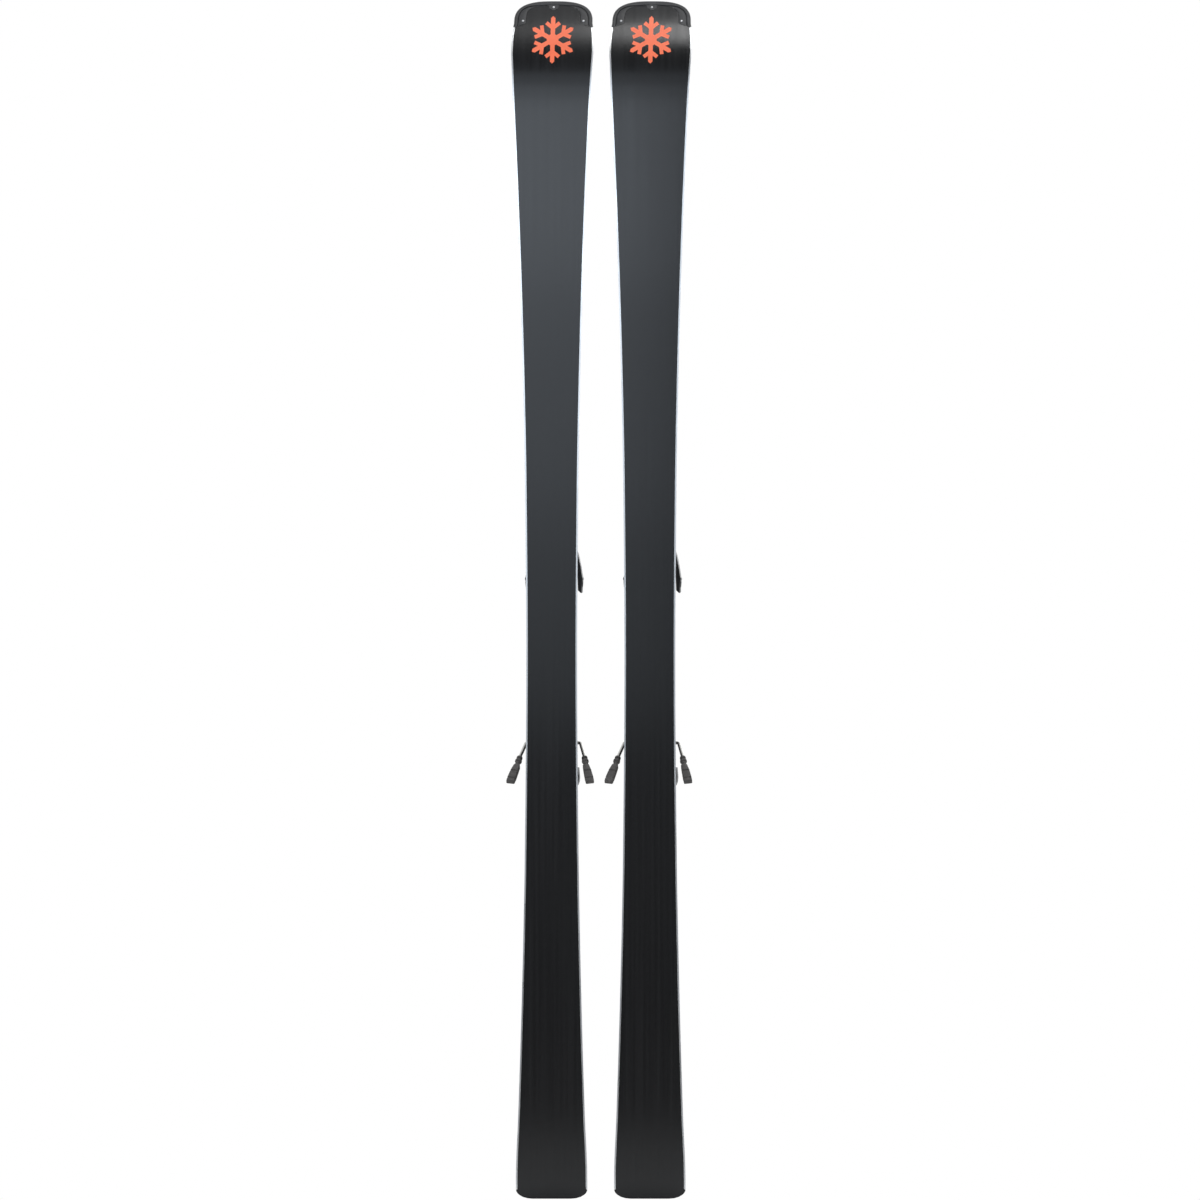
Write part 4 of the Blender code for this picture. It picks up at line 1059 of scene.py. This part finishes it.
def springs_and_screws(side, looks):
    """Finishes for the CAD coil springs and setting screws, which keep their own shape."""
    for part in ("toe_spring", "heel_spring", "toe_screw", "heel_screw"):
        is_screw = part.endswith("screw")
        obj = frame["nodes"][f"{side}_{part}"]
        obj.data.materials.clear()
        obj.data.materials.append(looks["zinc" if is_screw else "spring"])
        if is_screw:
            step = obj.modifiers.new("soft_edges", "BEVEL")
            step.width = 0.0002
            step.segments = 2
            step.limit_method = "ANGLE"


def window_material():
    """A smoked clear lens over a dark dial."""
    made = Finish("smoked_window", 0.12, specular=0.6, coat=0.6, coat_roughness=0.06)
    haze = made.noise(90.0)
    made.colour(made.ramp(haze, 0.3, 0.7, (0.006, 0.006, 0.007), (0.014, 0.014, 0.016)))
    made.roughness(made.range(haze, 0.08, 0.18))
    return made.material


# ---------------------------------------------------------------- studio

def add_light(name, location, target, width, height, power, colour=(1.0, 1.0, 1.0)):
    data = bpy.data.lights.new(name, "AREA")
    data.shape = "RECTANGLE"
    data.size = width
    data.size_y = height
    data.energy = power
    data.color = colour
    lamp = bpy.data.objects.new(name, data)
    bpy.context.scene.collection.objects.link(lamp)
    lamp.location = location
    lamp.visible_camera = False
    lamp.rotation_mode = "QUATERNION"
    lamp.rotation_quaternion = (Vector(target) - Vector(location)).to_track_quat("-Z", "Y")


def surroundings(scene):
    """A white room that the camera sees evenly, with a dark side before the bases for them to reflect."""
    world = bpy.data.worlds.new("white_room")
    scene.world = world
    world.use_nodes = True
    tree = world.node_tree
    split = node_of(tree, "ShaderNodeSeparateXYZ")
    tree.links.new(node_of(tree, "ShaderNodeTexCoord").outputs["Generated"], split.inputs["Vector"])
    strength = None
    for axis, start, end in (("Y", -0.80, -0.20), ("Z", 0.66, 0.88)):
        fade = node_of(tree, "ShaderNodeMapRange", interpolation_type="SMOOTHSTEP")
        fade.inputs["From Min"].default_value = start
        fade.inputs["From Max"].default_value = end
        tree.links.new(split.outputs[axis], fade.inputs["Value"])
        if strength is None:
            strength = fade.outputs["Result"]
            continue
        either = node_of(tree, "ShaderNodeMath", operation="MAXIMUM")
        tree.links.new(strength, either.inputs[0])
        tree.links.new(fade.outputs["Result"], either.inputs[1])
        strength = either.outputs[0]
    level = node_of(tree, "ShaderNodeMapRange")
    level.inputs["To Min"].default_value = ROOM_DARK
    level.inputs["To Max"].default_value = ROOM_LIGHT
    tree.links.new(strength, level.inputs["Value"])
    room = node_of(tree, "ShaderNodeBackground")
    room.inputs["Color"].default_value = (0.97, 0.985, 1.0, 1.0)
    tree.links.new(level.outputs["Result"], room.inputs["Strength"])
    backdrop = tree.nodes["Background"]
    backdrop.inputs["Color"].default_value = (1.0, 1.0, 1.0, 1.0)
    backdrop.inputs["Strength"].default_value = 1.0
    path = node_of(tree, "ShaderNodeLightPath")
    mix = node_of(tree, "ShaderNodeMixShader")
    tree.links.new(path.outputs["Is Camera Ray"], mix.inputs["Fac"])
    tree.links.new(room.outputs["Background"], mix.inputs[1])
    tree.links.new(backdrop.outputs["Background"], mix.inputs[2])
    tree.links.new(mix.outputs["Shader"], tree.nodes["World Output"].inputs["Surface"])


def front_panel():
    """A tall cool panel before the left ski, brightest at the height of the shovels."""
    for i, (z, radiance) in enumerate(STRIPS):
        power = radiance * pi * STRIP_WIDTH * STRIP_HEIGHT
        place = (STRIP_X, -STRIP_DISTANCE, z)
        target = (STRIP_X, 0.0, z)
        add_light(f"front_strip_{i}", place, target, STRIP_WIDTH, STRIP_HEIGHT, power, (0.88, 0.98, 1.10))


def studio():
    """A white room with a pale floor, soft lights and the camera."""
    scene = bpy.context.scene
    surroundings(scene)
    low, high = CAD_BOX
    middle = (low + high) / 2
    bm = bmesh.new()
    bmesh.ops.create_grid(bm, x_segments=1, y_segments=1, size=FLOOR_HALF)
    mesh = bpy.data.meshes.new("floor")
    bm.to_mesh(mesh)
    bm.free()
    floor = bpy.data.objects.new("floor", mesh)
    floor.location = (middle.x, middle.y, low.z - 0.0005)
    scene.collection.objects.link(floor)
    paint = Finish("pale_floor", 0.65, specular=0.2)
    grain = paint.noise(3.0)
    paint.colour(paint.ramp(grain, 0.3, 0.7, (0.80, 0.80, 0.80), (0.84, 0.84, 0.84)))
    mesh.materials.append(paint.material)

    front_panel()
    for lamp in LAMPS:
        add_light(*lamp)

    camera = bpy.data.objects.new("camera", bpy.data.cameras.new("camera"))
    scene.collection.objects.link(camera)
    camera.data.type = "ORTHO"
    camera.data.ortho_scale = (high.z - low.z) * FRAME_MARGIN
    back = Vector((sin(CAMERA_AZIMUTH), -cos(CAMERA_AZIMUTH), 0.0))
    camera.location = Vector((CAMERA_SHIFT, 0.0, middle.z)) + back * CAMERA_DISTANCE
    camera.rotation_mode = "QUATERNION"
    camera.rotation_quaternion = (-back).to_track_quat("-Z", "Y")
    scene.camera = camera
    scene.view_settings.view_transform = "Standard"
    scene.view_settings.look = "None"


# ---------------------------------------------------------------- the whole

def all_looks():
    # roughness, grains a metre, depth of the grain and clear coat of the glossier mouldings, then shades
    satin = (0.36, 1900.0, 0.00003, 0.2)
    housing_dark, housing_light = (0.018, 0.018, 0.020), (0.038, 0.038, 0.042)
    slider_dark, slider_light = (0.42, 0.42, 0.42), (0.56, 0.56, 0.56)
    black_dark, black_light = (0.014, 0.014, 0.015), (0.030, 0.030, 0.032)
    ink_dark, ink_light = (0.74, 0.74, 0.74), (0.84, 0.84, 0.84)
    return {
        "base": base_material(),
        "edge": steel_edge_material(),
        "sidewall": sidewall_material(),
        "topsheet": topsheet_material(),
        "core": wood_material(),
        "coral_print": coral_print(),
        "protector": worn_plastic("protector_plastic", (0.016, 0.016, 0.017), (0.036, 0.036, 0.038), 0.46),
        "black_plastic": moulded_plastic("black_moulding", black_dark, black_light, 0.46),
        "housing_plastic": moulded_plastic("housing_moulding", housing_dark, housing_light, *satin),
        "coral_plastic": moulded_plastic("coral_moulding", CORAL_DARK, CORAL, *satin),
        "foot_plastic": worn_plastic("foot_plastic", (0.026, 0.023, 0.022), (0.075, 0.068, 0.064), 0.52),
        "slider_plastic": moulded_plastic("slider_moulding", slider_dark, slider_light, 0.34, 1200.0, 0.00003),
        "white_print": moulded_plastic("white_print", ink_dark, ink_light, 0.45, 900.0, 0.00001),
        "wire": metal("wire_steel", (0.46, 0.45, 0.43), (0.66, 0.65, 0.62), 0.22, (1400, 1400, 60)),
        "zinc": metal("zinc_plate", (0.52, 0.53, 0.54), (0.74, 0.75, 0.76), 0.28, (900, 900, 900)),
        "band": metal("band_steel", (0.40, 0.41, 0.42), (0.62, 0.63, 0.64), 0.32, (1600, 1600, 40)),
        "spring": metal("spring_steel", (0.30, 0.30, 0.31), (0.48, 0.48, 0.49), 0.30, (1200, 1200, 1200)),
        "rivet": metal("rivet_steel", (0.50, 0.50, 0.51), (0.68, 0.68, 0.69), 0.30, (900, 900, 900)),
        "window": window_material(),
    }


def build_ski(side, looks):
    ski = Ski(side)
    smooth_layer(ski, "base", looks["base"], 0.0001)
    smooth_layer(ski, "topsheet", looks["topsheet"], 0.0004)
    for hand, _ in HANDS:
        smooth_layer(ski, "edge_" + hand, looks["edge"], 0.0002)
        smooth_layer(ski, "sidewall_" + hand, looks["sidewall"], 0.0002)
    core = frame["nodes"][side + "_core"]
    core.data.materials.clear()
    core.data.materials.append(looks["core"])
    tip_protector(ski, looks["protector"])
    tip_tab_and_rivets(ski, looks["protector"], looks["rivet"])
    snow_mark(ski, looks["coral_print"])


def build_binding(side, looks):
    plate_details(side, looks["black_plastic"], looks["zinc"])
    length_band(side, looks["band"])
    toe_piece(side, looks)
    afd_plate(side, looks["slider_plastic"])
    for hand, _ in HANDS:
        wing(side, hand, looks)
    heel_piece(side, looks)
    lever(side, looks)
    springs_and_screws(side, looks)
    soften(side + "_brake_pedal", side + "_brake", looks["black_plastic"], 0.0008)
    pedal_ribs(side, looks["black_plastic"])
    for hand, sign in HANDS:
        brake_arm(side, hand, sign, looks["wire"])
        brake_foot(side, hand, sign, looks["foot_plastic"])


LOOKS = all_looks()
for name in SIDES:
    build_ski(name, LOOKS)
    build_binding(name, LOOKS)
studio()
